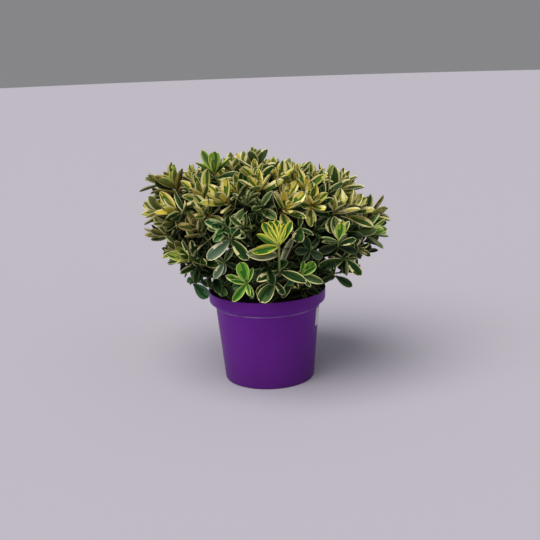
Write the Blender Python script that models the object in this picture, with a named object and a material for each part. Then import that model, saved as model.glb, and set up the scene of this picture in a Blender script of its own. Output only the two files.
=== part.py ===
# Potted variegated hebe: a purple plastic nursery pot full of compost, a short woody trunk,
# limbs that fan out from its knob, and a dome of leafy masses, one at each limb's tip.
# Metres, +Z up. The origin is the centre of the pot's underside and the front faces -Y.
# An azimuth runs from the front (-Y) towards +X. A polar angle is counted from the vertical.

import math
import random
from collections import namedtuple
from dataclasses import dataclass

import bmesh
import bpy
from mathutils import Vector
from mathutils.bvhtree import BVHTree

SEED = 23
CLEARANCE = 0.0003

# Pot
POT_HEIGHT = 0.181
RIM_RADIUS = 0.115
RIM_ROUND = 0.001
COLLAR_DEPTH = 0.0225
COLLAR_FOOT_RADIUS = 0.1141
COLLAR_ROUND = 0.0012
LEDGE_RADIUS = 0.1036
LEDGE_HEIGHT = 0.149
LEDGE_DEPTH = 0.0016
BODY_TOP_RADIUS = 0.102
BASE_RADIUS = 0.0882
BASE_CORNER = 0.004
WALL = 0.0018
FLOOR_TOP = 0.0055
FOOT_RECESS = 0.0035
FOOT_RING_RADIUS = 0.076
PAD_RADIUS = 0.022
RECESS_SLOPE = 0.002
DRAINS = 8
DRAIN_RADIUS = 0.0055
DRAIN_CIRCLE = 0.052
DRAIN_SIDES = 10
POT_SEGMENTS = 40

# Compost, slightly heaped round the trunk
COMPOST_EDGE_HEIGHT = 0.1605
COMPOST_HEIGHT = 0.164
COMPOST_FLAT_RADIUS = 0.024

# Blank sticker on the pot's right side
STICKER_BOTTOM = 0.109
STICKER_TOP = 0.1455
STICKER_FIRST_AZIMUTH = 67
STICKER_LAST_AZIMUTH = 103
STICKER_THICKNESS = 0.0004
STICKER_STEPS = 10

# Trunk: root flare, waist and the round knob that the limbs leave from
TRUNK_GROUND = COMPOST_HEIGHT + CLEARANCE
FLARE_RADIUS = 0.0205
FLARE_HEIGHT = 0.008
WAIST_RADIUS = 0.0125
KNOB_RADIUS = 0.019
KNOB_HEIGHT = TRUNK_GROUND + 0.0205
KNOB_POLARS = (120, 100, 80, 60, 42, 24)
ROOT_LOBES = 5
ROOT_LOBE_DEPTH = 0.14
TRUNK_SEGMENTS = 20

# Crown: a dome, drawn by one superellipse round its centre and measured to the leaf tips
CROWN_CENTRE_HEIGHT = 0.300
CROWN_RADIUS = 0.243
CROWN_UP = 0.148
CROWN_DOWN = 0.125
CROWN_SQUARENESS = 2.5

# Rings of masses, from the pot's rim up. `first_azimuth` is where the first mass stands and
# `polar` how low the ring lies. Its limbs leave the knob at `foot_polar`, and its shoots end
# pointing at `tip_polar`. A mass has `twigs` side twigs, `spread` degrees round its own stem,
# and each shoot has `pairs` pairs of leaves.
Ring = namedtuple("Ring", "name masses first_azimuth polar foot_polar tip_polar twigs spread pairs")
RINGS = (
    Ring("skirt", 6, -44, polar=112, foot_polar=79, tip_polar=84, twigs=2, spread=13, pairs=4),
    Ring("side", 8, -36, polar=86, foot_polar=61, tip_polar=60, twigs=3, spread=11, pairs=4),
    Ring("shoulder", 6, -62, polar=58, foot_polar=43, tip_polar=40, twigs=3, spread=12, pairs=3),
    Ring("crest", 3, -28, polar=30, foot_polar=24, tip_polar=20, twigs=3, spread=14, pairs=3),
    Ring("top", 1, 150, polar=4, foot_polar=1, tip_polar=4, twigs=3, spread=11, pairs=3),
)
AZIMUTH_JITTER = 2.0
REACH_JITTER = 0.03
# Masses that stand out of the dome or back from it, as shares of its reach.
REACH = {
    "side_2": 1.04,
    "side_8": 0.95,
    "shoulder_1": 1.03,
    "shoulder_3": 0.96,
    "shoulder_4": 0.92,
    "crest_1": 1.07,
    "crest_2": 0.90,
    "top_1": 0.94,
}

# Limbs, the stem that carries a mass on from its limb, and side twigs. A share counts along
# the curve from the knob's centre to the end of the stem.
CURVE_PULL = 0.38
LIMB_STARTS_AT = 0.02
STEM_STARTS_AT = 0.54
SPACE_POINT_AT = 0.80
FIRST_TWIG_AT = 0.64
TWIG_EVERY = 0.07
TWIG_TURNS_OUT = 0.7
TWIG_REACH = 0.97
TWIG_REACH_LOSS = 0.02
TWIG_LEAN_SHARE = 0.8
TIP_LEAF_REACH = 0.033
LIMB_SIDES = 5
LIMB_STEPS = 4
LIMB_RADII = (0.0029, 0.0021)
STEM_STEPS = 3
STEM_RADII = (0.0021, 0.0015)
TWIG_STEPS = 2
TWIG_RADII = (0.0017, 0.0013)
TWIG_SIDES = 3

# Leaves, in opposite pairs, each pair a quarter turn round the shoot from the last. Each leaf
# stands for about four real ones, so it is somewhat larger than life.
LeafPair = namedtuple("LeafPair", "below_tip pitch length width")
SHOOT_PAIRS = (
    LeafPair(below_tip=0.001, pitch=16, length=0.040, width=0.018),
    LeafPair(below_tip=0.007, pitch=42, length=0.052, width=0.024),
    LeafPair(below_tip=0.022, pitch=72, length=0.056, width=0.027),
    LeafPair(below_tip=0.044, pitch=80, length=0.058, width=0.028),
)
LEAF_WIDEST_AT = 0.58
LEAF_THICKNESS = 0.0015
LEAF_EDGE_LIFT = 0.0006
LEAF_ROOT_WIDTH = 0.0036
LEAF_ROOT_DEPTH = 0.0034
# A leaf that doesn't fit at its full size is tried at the next one, and then left out.
LEAF_SIZES = (1.0, 0.82, 0.66)

# How far a leaf keeps from the border of its mass's space, from a limb's side and from the rim
SPACE_MARGIN = 0.0006
LIMB_MARGIN = 0.0012
RIM_MARGIN = 0.003
# The crown's lower edge rises outwards from the rim, more at the two sides than at the front.
SKIRT_WIDTH = 0.125
SKIRT_RISE_FRONT = 0.03
SKIRT_RISE_SIDE = 0.10
SKIRT_POWER = 1.7

PURPLE = (0.105, 0.014, 0.235, 1)
COMPOST_BROWN = (0.020, 0.013, 0.009, 1)
STICKER_WHITE = (0.72, 0.70, 0.72, 1)
BARK_BROWN = (0.16, 0.11, 0.065, 1)
LEAF_GREENS = {
    "skirt": (0.045, 0.13, 0.035, 1),
    "side": (0.11, 0.16, 0.055, 1),
    "shoulder": (0.30, 0.31, 0.10, 1),
    "crest": (0.40, 0.38, 0.12, 1),
    "top": (0.34, 0.36, 0.11, 1),
}


@dataclass
class Mass:
    """One leafy mass: `curve` runs from the knob's centre to its stem's end, `limb` along its limb."""

    name: str
    ring: Ring
    azimuth: float
    reach: float
    turn: float
    curve: tuple
    limb: list
    space_point: Vector


def clear_scene():
    for obj in list(bpy.data.objects):
        bpy.data.objects.remove(obj)


def finish(name, colour, roughness):
    """A material with one colour and roughness."""
    material = bpy.data.materials.new(name)
    material.use_nodes = True
    shader = material.node_tree.nodes["Principled BSDF"]
    shader.inputs["Base Color"].default_value = colour
    shader.inputs["Roughness"].default_value = roughness
    shader.inputs["Metallic"].default_value = 0.0
    return material


def mesh_object(name, points, faces, material=None):
    mesh = bpy.data.meshes.new(name)
    mesh.from_pydata([tuple(point) for point in points], [], faces)
    mesh.update()
    obj = bpy.data.objects.new(name, mesh)
    bpy.context.scene.collection.objects.link(obj)
    if material:
        mesh.materials.append(material)
    return obj


def face_outwards(obj):
    edit = bmesh.new()
    edit.from_mesh(obj.data)
    bmesh.ops.recalc_face_normals(edit, faces=edit.faces)
    edit.to_mesh(obj.data)
    edit.free()
    return obj


def smooth(obj, angle=35):
    obj.data.shade_smooth()
    obj.data.set_sharp_from_angle(angle=math.radians(angle))
    return obj


def make_cutter(obj):
    """Sets an object to cut others and not to show."""
    obj.hide_render = True
    obj.display_type = "WIRE"
    return obj


def cut_away(obj, cutter):
    cut = obj.modifiers.new(cutter.name, "BOOLEAN")
    cut.operation = "DIFFERENCE"
    cut.solver = "EXACT"
    cut.object = cutter


def outward(azimuth, polar):
    """The unit vector at an azimuth and a polar angle, in degrees."""
    turn, lean = math.radians(azimuth), math.radians(polar)
    return Vector((math.sin(turn) * math.sin(lean), -math.cos(turn) * math.sin(lean), math.cos(lean)))


def turned(name, profile, segments, material, swell=None):
    """A closed solid turned about Z. The profile starts and ends on the axis, bottom to top."""
    points, rings, faces = [], [], []
    for radius, height in profile:
        count = segments if radius else 1
        rings.append(range(len(points), len(points) + count))
        for i in range(count):
            angle = 2 * math.pi * i / segments
            r = radius * swell(angle, height) if swell else radius
            points.append((r * math.cos(angle), r * math.sin(angle), height))
    for lower, upper in zip(rings, rings[1:]):
        for i in range(segments):
            after = i + 1
            corners = (
                lower[i % len(lower)],
                lower[after % len(lower)],
                upper[after % len(upper)],
                upper[i % len(upper)],
            )
            faces.append(list(dict.fromkeys(corners)))
    return mesh_object(name, points, faces, material)


def pot_outline():
    """The pot's outer profile, from the axis under the floor up to the rim's top."""
    collar_foot = POT_HEIGHT - COLLAR_DEPTH
    return [
        (0, 0),
        (PAD_RADIUS, 0),
        (PAD_RADIUS + RECESS_SLOPE, FOOT_RECESS),
        (FOOT_RING_RADIUS - RECESS_SLOPE, FOOT_RECESS),
        (FOOT_RING_RADIUS, 0),
        (BASE_RADIUS - BASE_CORNER, 0),
        (BASE_RADIUS - BASE_CORNER * 0.3, BASE_CORNER * 0.3),
        (BASE_RADIUS, BASE_CORNER),
        (BODY_TOP_RADIUS, LEDGE_HEIGHT - LEDGE_DEPTH / 2),
        (LEDGE_RADIUS, LEDGE_HEIGHT),
        (LEDGE_RADIUS, LEDGE_HEIGHT + LEDGE_DEPTH / 2),
        (COLLAR_FOOT_RADIUS - COLLAR_ROUND, collar_foot),
        (COLLAR_FOOT_RADIUS, collar_foot + COLLAR_ROUND),
        (RIM_RADIUS, POT_HEIGHT - RIM_ROUND),
        (RIM_RADIUS - RIM_ROUND, POT_HEIGHT),
    ]


def pot_bore(clearance=0.0):
    """The inside of the pot's wall, from the rim down to the floor, drawn in by a clearance."""
    inward = WALL + clearance
    return [
        (RIM_RADIUS - inward - RIM_ROUND, POT_HEIGHT),
        (COLLAR_FOOT_RADIUS - inward, POT_HEIGHT - COLLAR_DEPTH),
        (BODY_TOP_RADIUS - inward, LEDGE_HEIGHT - LEDGE_DEPTH),
        (BASE_RADIUS - inward, FLOOR_TOP + clearance),
    ]


def make_pot(material):
    profile = pot_outline() + pot_bore() + [(0, FLOOR_TOP)]
    pot = turned("pot", profile, POT_SEGMENTS, material)
    for i in range(DRAINS):
        angle = 2 * math.pi * (i + 0.5) / DRAINS
        bpy.ops.mesh.primitive_cylinder_add(
            vertices=DRAIN_SIDES,
            radius=DRAIN_RADIUS,
            depth=4 * FLOOR_TOP,
            location=(DRAIN_CIRCLE * math.cos(angle), DRAIN_CIRCLE * math.sin(angle), 0),
        )
        drain = make_cutter(bpy.context.object)
        drain.name = f"drain_{i + 1}"
        cut_away(pot, drain)
    return smooth(pot)


def wall_radius(profile, height):
    """The profile's radius at a height."""
    for (r0, z0), (r1, z1) in zip(profile, profile[1:]):
        if z0 != z1 and min(z0, z1) <= height <= max(z0, z1):
            return r0 + (r1 - r0) * (height - z0) / (z1 - z0)
    raise ValueError("the height is outside the profile")


def make_compost(material):
    bore = pot_bore(CLEARANCE)
    edge = wall_radius(bore, COMPOST_EDGE_HEIGHT)
    profile = [(0, FLOOR_TOP + CLEARANCE)]
    profile += [point for point in reversed(bore) if point[1] < COMPOST_EDGE_HEIGHT]
    profile.append((edge, COMPOST_EDGE_HEIGHT))
    profile.append((COMPOST_FLAT_RADIUS, COMPOST_HEIGHT))
    profile.append((0, COMPOST_HEIGHT))
    return smooth(turned("compost", profile, POT_SEGMENTS, material))


def make_sticker(material):
    """A blank paper sticker that follows the pot's tapering wall."""
    outline = pot_outline()
    points, faces = [], []
    for step in range(STICKER_STEPS + 1):
        sweep = STICKER_LAST_AZIMUTH - STICKER_FIRST_AZIMUTH
        out = outward(STICKER_FIRST_AZIMUTH + sweep * step / STICKER_STEPS, 90)
        for height in (STICKER_BOTTOM, STICKER_TOP):
            for lift in (CLEARANCE, CLEARANCE + STICKER_THICKNESS):
                points.append(out * (wall_radius(outline, height) + lift) + Vector((0, 0, height)))
    for step in range(STICKER_STEPS):
        near, far = 4 * step, 4 * step + 4
        for a, b in ((0, 1), (1, 3), (3, 2), (2, 0)):
            faces.append((near + a, near + b, far + b, far + a))
    last = 4 * STICKER_STEPS
    faces.append((0, 1, 3, 2))
    faces.append((last, last + 1, last + 3, last + 2))
    return face_outwards(mesh_object("sticker", points, faces, material))


def trunk_profile(clearance=0.0):
    """The trunk's profile, from the flat cut on the compost to the top of its knob."""
    profile = [
        (0, TRUNK_GROUND),
        (FLARE_RADIUS + clearance, TRUNK_GROUND),
        ((FLARE_RADIUS + 3 * WAIST_RADIUS) / 4 + clearance, TRUNK_GROUND + FLARE_HEIGHT / 2),
        (WAIST_RADIUS + clearance, TRUNK_GROUND + FLARE_HEIGHT),
    ]
    for polar in KNOB_POLARS:
        out = outward(90, polar) * (KNOB_RADIUS + clearance)
        profile.append((out.x, KNOB_HEIGHT + out.z))
    profile.append((0, KNOB_HEIGHT + KNOB_RADIUS + clearance))
    return profile


def root_lobes(angle, height):
    """How far the flare swells into roots: most at the compost, and not at all at the waist."""
    share = max(0.0, 1 - (height - TRUNK_GROUND) / FLARE_HEIGHT)
    return 1 + ROOT_LOBE_DEPTH * share * math.cos(ROOT_LOBES * angle)


def make_trunk(material):
    return smooth(turned("trunk", trunk_profile(), TRUNK_SEGMENTS, material, root_lobes), 60)


def bezier(curve, share):
    p0, p1, p2, p3 = curve
    rest = 1 - share
    return p0 * rest**3 + p1 * 3 * rest**2 * share + p2 * 3 * rest * share**2 + p3 * share**3


def line_along(curve, start, end, steps):
    return [bezier(curve, start + (end - start) * i / steps) for i in range(steps + 1)]


def curve_between(start, leaving, end, arriving):
    """A curve that leaves and arrives along two directions."""
    pull = (end - start).length * CURVE_PULL
    return start, start + leaving * pull, end - arriving * pull, end


def dome_reach(polar):
    """Distance from the crown's centre to its outline at a polar angle."""
    lean = math.radians(polar)
    upright = CROWN_UP if polar < 90 else CROWN_DOWN
    across = abs(math.sin(lean) / CROWN_RADIUS) ** CROWN_SQUARENESS
    along = abs(math.cos(lean) / upright) ** CROWN_SQUARENESS
    return (across + along) ** (-1 / CROWN_SQUARENESS)


def shoot_end(azimuth, polar, tip_polar, reach):
    """Where a shoot ends, which leaves its tip leaves inside the outline, and the way it points."""
    pointing = outward(azimuth, tip_polar)
    tip = Vector((0, 0, CROWN_CENTRE_HEIGHT)) + outward(azimuth, polar) * dome_reach(polar) * reach
    return tip - pointing * TIP_LEAF_REACH, pointing


def plan_masses():
    """Every mass of the crown, ring by ring."""
    chance = random.Random(SEED)
    knob = Vector((0, 0, KNOB_HEIGHT))
    masses = []
    for ring in RINGS:
        for i in range(ring.masses):
            name = f"{ring.name}_{i + 1}"
            azimuth = ring.first_azimuth + 360 * i / ring.masses
            azimuth += chance.uniform(-AZIMUTH_JITTER, AZIMUTH_JITTER)
            reach = REACH.get(name, 1.0) + chance.uniform(-REACH_JITTER, 0)
            end, pointing = shoot_end(azimuth, ring.polar, ring.tip_polar, reach)
            curve = curve_between(knob, outward(azimuth, ring.foot_polar), end, pointing)
            stem_start = bezier(curve, STEM_STARTS_AT)
            gap = CLEARANCE * STEM_STARTS_AT / (stem_start - knob).length
            limb = line_along(curve, LIMB_STARTS_AT, STEM_STARTS_AT - gap, LIMB_STEPS)
            space_point = bezier(curve, SPACE_POINT_AT)
            turn = chance.uniform(0, 360)
            masses.append(Mass(name, ring, azimuth, reach, turn, curve, limb, space_point))
    return masses


def spread_from(azimuth, polar, spread, around):
    """The azimuth and polar angle `spread` degrees away from a direction, to the side `around`."""
    middle = outward(azimuth, polar)
    level = outward(azimuth + 90, 90)
    side = level * math.cos(math.radians(around)) + middle.cross(level) * math.sin(math.radians(around))
    out = middle * math.cos(math.radians(spread)) + side * math.sin(math.radians(spread))
    return math.degrees(math.atan2(out.x, -out.y)), math.degrees(math.acos(out.z))


def grow_shoots(mass):
    """The lines of a mass's shoots: its stem, then the side twigs spread round the stem's end."""
    ring = mass.ring
    shoots = [line_along(mass.curve, STEM_STARTS_AT, 1.0, STEM_STEPS)]
    for i in range(ring.twigs):
        azimuth, polar = spread_from(mass.azimuth, ring.polar, ring.spread, mass.turn + 360 * i / ring.twigs)
        tip_polar = abs(ring.tip_polar + (polar - ring.polar) * TWIG_LEAN_SHARE)
        reach = mass.reach * (TWIG_REACH - TWIG_REACH_LOSS * i)
        end, pointing = shoot_end(azimuth, polar, tip_polar, reach)
        start = bezier(mass.curve, FIRST_TWIG_AT + TWIG_EVERY * i)
        onward = (mass.curve[3] - start).normalized()
        leaving = onward.lerp((end - start).normalized(), TWIG_TURNS_OUT).normalized()
        shoots.append(line_along(curve_between(start, leaving, end, pointing), 0, 1, TWIG_STEPS))
    return shoots


def point_back(line, distance):
    """The point at a distance back from a line's end, and the way the line runs there."""
    for a, b in zip(reversed(line[:-1]), reversed(line)):
        span = (b - a).length
        if distance <= span:
            break
        distance -= span
    ahead = (b - a).normalized()
    return b - ahead * min(distance, span), ahead


def tube(line, radii, sides):
    """Points and faces of a closed tube along a line, which tapers from one radius to the other."""
    side = Vector((0, 0, 1)).cross(line[1] - line[0])
    if not side.length:
        side = Vector((1, 0, 0))
    points, faces = [], []
    last = len(line) - 1
    for i, centre in enumerate(line):
        ahead = (line[min(i + 1, last)] - line[max(i - 1, 0)]).normalized()
        side = (side - ahead * side.dot(ahead)).normalized()
        across = ahead.cross(side)
        radius = radii[0] + (radii[1] - radii[0]) * i / last
        for k in range(sides):
            angle = 2 * math.pi * k / sides
            points.append(centre + (side * math.cos(angle) + across * math.sin(angle)) * radius)
    for i in range(last):
        for k in range(sides):
            a, b = sides * i + k, sides * i + (k + 1) % sides
            faces.append((a, b, b + sides, a + sides))
    faces.append(tuple(reversed(range(sides))))
    faces.append(tuple(sides * last + k for k in range(sides)))
    return points, faces


def make_limb(mass, material, knob_clearance):
    """One tapering limb, from its seat on the trunk's knob to its mass."""
    limb = mesh_object(f"limb_{mass.name}", *tube(mass.limb, LIMB_RADII, LIMB_SIDES), material)
    cut_away(limb, knob_clearance)


def ways_out(ahead, turn):
    """The two opposite directions, square to a shoot, in which a pair of leaves goes out."""
    level = ahead.cross(Vector((0, 0, 1)))
    if level.length < 0.05:
        level = ahead.cross(Vector((1, 0, 0)))
    level.normalize()
    up = level.cross(ahead)
    way = level * math.cos(math.radians(turn)) + up * math.sin(math.radians(turn))
    return way, -way


def leaf_outline(root, way, ahead, pair, size):
    """The root, left, right, tip and keel of a leaf that goes out from a shoot along `way`."""
    pitch = math.radians(pair.pitch)
    along = ahead * math.cos(pitch) + way * math.sin(pitch)
    across = along.cross(ahead).normalized()
    face_up = across.cross(along)
    length, half_width = pair.length * size, pair.width * size / 2
    waist = root + along * length * LEAF_WIDEST_AT
    left = waist + across * half_width + face_up * LEAF_EDGE_LIFT
    right = waist - across * half_width + face_up * LEAF_EDGE_LIFT
    return root, left, right, root + along * length, waist - face_up * LEAF_THICKNESS


def leaves_solid(root, ahead, outlines):
    """One leaf, or two opposite ones in one piece, grown from a section inside the twig."""
    _, left, right, _, _ = outlines[0]
    side = (left - right).normalized() * LEAF_ROOT_WIDTH / 2
    points = [root + side, root - side, root - ahead * LEAF_ROOT_DEPTH]
    faces = []
    for outline, (left_root, right_root) in zip(outlines, ((0, 1), (1, 0))):
        left, right, tip, keel = range(len(points), len(points) + 4)
        points += outline[1:]
        faces.append((left_root, left, right, right_root))
        faces.append((left_root, 2, keel, left))
        faces.append((right_root, right, keel, 2))
        faces.append((left, tip, right))
        faces.append((left, keel, tip))
        faces.append((right, tip, keel))
    if len(outlines) == 1:
        faces.append((0, 1, 2))
    return points, faces


def blade_tree(outline):
    """The flat of a leaf, to test against other shoots."""
    return BVHTree.FromPolygons(outline[:4], [(0, 1, 2), (1, 3, 2)])


def points_over(outline):
    """Points that stand for a leaf in the tests of its space."""
    root, left, right, tip, keel = outline
    points = [keel] + [root.lerp(tip, share / 6) for share in range(2, 7)]
    for edge in (left, right):
        points += [root.lerp(edge, 0.5), edge, edge.lerp(tip, 0.5)]
    return points


def in_own_space(points, mass, masses, margin=SPACE_MARGIN):
    """Whether all points are nearer to this mass than to any other, with the margin to spare."""
    for other in masses:
        if other is mass:
            continue
        between = other.space_point - mass.space_point
        middle = (other.space_point + mass.space_point) / 2
        limit = -margin * between.length
        if any((point - middle).dot(between) > limit for point in points):
            return False
    return True


def distance_to_line(point, line):
    distances = []
    for a, b in zip(line, line[1:]):
        span = b - a
        share = max(0.0, min(1.0, (point - a).dot(span) / span.length_squared))
        distances.append((point - a - span * share).length)
    return min(distances)


def clear_of_limbs(points, masses):
    keep_off = LIMB_RADII[0] + LIMB_MARGIN
    return all(distance_to_line(point, mass.limb) > keep_off for mass in masses for point in points)


def skirt_height(point):
    """The height of the crown's lower edge over or under a point."""
    out = math.hypot(point.x, point.y)
    past_rim = max(0.0, out - RIM_RADIUS - RIM_MARGIN)
    if not past_rim:
        return POT_HEIGHT + RIM_MARGIN
    rise = SKIRT_RISE_FRONT + (SKIRT_RISE_SIDE - SKIRT_RISE_FRONT) * (point.x / out) ** 2
    return POT_HEIGHT + RIM_MARGIN + rise * (past_rim / SKIRT_WIDTH) ** SKIRT_POWER


def clear_of_pot(points):
    """Whether all points are above the pot's rim and the crown's lower edge."""
    return all(point.z > skirt_height(point) for point in points)


def twig_fits(line, mass, masses):
    """Whether a side twig keeps to its mass's space and off the pot and the limbs."""
    beyond = [line[0].lerp(line[1], 0.5)] + line[1:]
    margin = SPACE_MARGIN + TWIG_RADII[0]
    if not in_own_space(beyond, mass, masses, margin) or not clear_of_pot(beyond):
        return False
    return clear_of_limbs(beyond, masses)


def leaf_fits(outline, others, mass, masses):
    """Whether a leaf keeps to its mass's space and off the pot, the limbs and other shoots."""
    points = points_over(outline)
    if not in_own_space(points, mass, masses) or not clear_of_pot(points):
        return False
    blade = blade_tree(outline)
    return not any(blade.overlap(tree) for tree in others) and clear_of_limbs(points, masses)


def make_mass(mass, masses, material):
    """One closed solid: stem, side twigs and the leaf pairs of each shoot, fused together."""
    chance = random.Random(f"{SEED} {mass.name}")
    lines = grow_shoots(mass)
    lines = lines[:1] + [line for line in lines[1:] if twig_fits(line, mass, masses)]
    pieces, standing = [], []
    for number, line in enumerate(lines):
        pieces.append(tube(line, TWIG_RADII if number else STEM_RADII, TWIG_SIDES))
        standing.append((number, BVHTree.FromPolygons(*pieces[-1])))
    for number, line in enumerate(lines):
        turn = chance.uniform(0, 90)
        for place, pair in enumerate(SHOOT_PAIRS[: mass.ring.pairs]):
            root, ahead = point_back(line, pair.below_tip)
            others = [tree for owner, tree in standing if owner != number]
            outlines = []
            for way in ways_out(ahead, turn + 90 * place):
                sizes = (leaf_outline(root, way, ahead, pair, size) for size in LEAF_SIZES)
                outline = next((leaf for leaf in sizes if leaf_fits(leaf, others, mass, masses)), None)
                if outline:
                    outlines.append(outline)
                    standing.append((number, blade_tree(outline)))
            if outlines:
                pieces.append(leaves_solid(root, ahead, outlines))
    return fuse(f"mass_{mass.name}", pieces, material)


def fuse(name, pieces, material):
    """Joins overlapping closed pieces into one solid. The first is what the others hang on."""
    helpers = bpy.data.collections.new(f"{name}_pieces")
    bpy.context.scene.collection.children.link(helpers)
    base = face_outwards(mesh_object(name, *pieces[0]))
    for i, (points, faces) in enumerate(pieces[1:]):
        piece = face_outwards(mesh_object(f"{name}_piece_{i}", points, faces))
        bpy.context.scene.collection.objects.unlink(piece)
        helpers.objects.link(piece)
    union = base.modifiers.new("fuse", "BOOLEAN")
    union.operation = "UNION"
    union.operand_type = "COLLECTION"
    union.collection = helpers
    union.solver = "MANIFOLD"
    bpy.context.view_layer.update()
    graph = bpy.context.evaluated_depsgraph_get()
    base.data = bpy.data.meshes.new_from_object(base.evaluated_get(graph))
    base.data.materials.clear()
    base.data.materials.append(material)
    base.modifiers.clear()
    for piece in list(helpers.objects):
        bpy.data.objects.remove(piece)
    bpy.data.collections.remove(helpers)
    return keep_outer_surface(base)


def keep_outer_surface(obj):
    """Keeps a mesh's largest joined-up surface, which fills any hollow sealed inside it."""
    edit = bmesh.new()
    edit.from_mesh(obj.data)
    unseen, surfaces = set(edit.faces), []
    while unseen:
        surface, front = [], [unseen.pop()]
        while front:
            face = front.pop()
            surface.append(face)
            beside = {other for edge in face.edges for other in edge.link_faces} & unseen
            unseen -= beside
            front.extend(beside)
        surfaces.append(surface)
    surfaces.sort(key=len, reverse=True)
    for surface in surfaces[1:]:
        bmesh.ops.delete(edit, geom=surface, context="FACES")
    edit.to_mesh(obj.data)
    edit.free()
    return obj


def main():
    clear_scene()
    make_pot(finish("purple_plastic", PURPLE, 0.4))
    make_compost(finish("compost", COMPOST_BROWN, 0.95))
    make_sticker(finish("sticker_paper", STICKER_WHITE, 0.6))
    bark = finish("hebe_bark", BARK_BROWN, 0.8)
    make_trunk(bark)
    knob_clearance = turned("knob_clearance", trunk_profile(CLEARANCE), TRUNK_SEGMENTS, None)
    make_cutter(knob_clearance)
    greens = {name: finish(f"foliage_{name}", colour, 0.5) for name, colour in LEAF_GREENS.items()}
    masses = plan_masses()
    for mass in masses:
        make_limb(mass, bark, knob_clearance)
        make_mass(mass, masses, greens[mass.ring.name])


main()
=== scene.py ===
# %% [markdown]
# # A variegated hebe in its nursery pot
# The plant is a rounded evergreen shrub half a metre wide. Its leaves stand in crossed pairs
# and are dark green inside and cream or yellow at the edge. It grows in a purple plastic pot.
# The imported model gives the plant's frame: a pot, a short trunk, limbs and one solid for each
# mass of leaves. This script dresses that frame and moves nothing in it.

# %% Load the imported frame
import math
import random
from collections import namedtuple

import bmesh
import bpy
from mathutils import Matrix, Vector


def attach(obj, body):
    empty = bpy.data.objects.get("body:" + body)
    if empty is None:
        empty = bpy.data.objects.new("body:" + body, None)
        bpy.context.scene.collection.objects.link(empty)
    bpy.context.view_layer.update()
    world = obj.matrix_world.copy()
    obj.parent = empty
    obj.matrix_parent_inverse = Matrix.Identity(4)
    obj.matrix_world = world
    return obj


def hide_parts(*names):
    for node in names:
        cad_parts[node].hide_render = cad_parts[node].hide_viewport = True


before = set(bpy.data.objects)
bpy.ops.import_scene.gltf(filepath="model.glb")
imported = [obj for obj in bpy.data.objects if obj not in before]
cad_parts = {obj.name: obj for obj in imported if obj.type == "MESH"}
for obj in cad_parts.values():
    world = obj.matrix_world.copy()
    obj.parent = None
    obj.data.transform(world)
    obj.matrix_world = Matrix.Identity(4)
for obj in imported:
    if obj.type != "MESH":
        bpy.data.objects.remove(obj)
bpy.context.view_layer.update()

print("nodes in the frame:", len(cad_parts))

# %% [markdown]
# ## Small helpers
# Colours are written as the hex values that a colour picker shows, and turned to the linear
# numbers that a shader needs. One function adds any node with its settings and links, and the
# skin class mixes patterns for a material from it.

# %% Colours, nodes and pieces
SOCKET_KINDS = {float: "NodeSocketFloat", int: "NodeSocketInt", type(None): "NodeSocketCollection"}


def linear(hex_colour):
    """A hex sRGB colour as linear RGBA."""
    shares = (int(hex_colour[i : i + 2], 16) / 255 for i in (1, 3, 5))
    return (*(c / 12.92 if c <= 0.04045 else ((c + 0.055) / 1.055) ** 2.4 for c in shares), 1.0)


def outward(azimuth, polar):
    """The unit vector at an azimuth from the front and a polar angle, in degrees."""
    turn, lean = math.radians(azimuth), math.radians(polar)
    return Vector((math.sin(turn) * math.sin(lean), -math.cos(turn) * math.sin(lean), math.cos(lean)))


def add_node(tree, kind, inputs=None, output=0, **settings):
    """Adds a node, sets its properties and its inputs, and returns one of its outputs."""
    node = tree.nodes.new(kind)
    for name, value in settings.items():
        setattr(node, name, value)
    for key, value in (inputs or {}).items():
        sources = value if isinstance(value, list) else [value]
        if not isinstance(sources[0], bpy.types.NodeSocket):
            node.inputs[key].default_value = value
            continue
        for source in sources:
            tree.links.new(source, node.inputs[key])
    return node.outputs[output] if node.outputs else None


def maths(tree, operation, *values):
    """The result of one sum on numbers or sockets."""
    return add_node(tree, "ShaderNodeMath", dict(enumerate(values)), operation=operation)


def new_material(name, colour, roughness, **more):
    """A material with plain numbers on its Principled shader."""
    material = bpy.data.materials.new(name)
    material.use_nodes = True
    inputs = material.node_tree.nodes["Principled BSDF"].inputs
    inputs["Base Color"].default_value = linear(colour)
    inputs["Roughness"].default_value = roughness
    for socket, value in more.items():
        inputs[socket.replace("_", " ")].default_value = value
    return material


class Skin:
    """A material whose patterns are read from the place on the piece."""

    def __init__(self, name, colour, roughness, **more):
        self.material = new_material(name, colour, roughness, **more)
        self.tree = self.material.node_tree
        self.places = add_node(self.tree, "ShaderNodeTexCoord", output="Object")

    def noise(self, millimetres, detail, **more):
        """A noise whose features are this many millimetres across."""
        inputs = {"Vector": self.places, "Scale": 1000 / millimetres, "Detail": detail}
        return add_node(self.tree, "ShaderNodeTexNoise", {**inputs, **more})

    def blend(self, share, first, second):
        """The first colour, with a share of the second laid over it."""
        first = linear(first) if isinstance(first, str) else first
        inputs = {0: share, 6: first, 7: linear(second)}
        return add_node(self.tree, "ShaderNodeMix", inputs, 2, data_type="RGBA")

    def ramp(self, value, low, high, at_low, at_high):
        """A value that runs from one number to another while its source goes from low to high."""
        inputs = {0: value, 1: low, 2: high, 3: at_low, 4: at_high}
        return add_node(self.tree, "ShaderNodeMapRange", inputs)

    def relief(self, height, strength, depth):
        inputs = {"Height": height, "Strength": strength, "Distance": depth}
        return add_node(self.tree, "ShaderNodeBump", inputs)

    def done(self, **sources):
        """Links each pattern to the shader's socket of that name, and returns the material."""
        inputs = self.tree.nodes["Principled BSDF"].inputs
        for socket, source in sources.items():
            self.tree.links.new(source, inputs[socket.replace("_", " ")])
        return self.material


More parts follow.
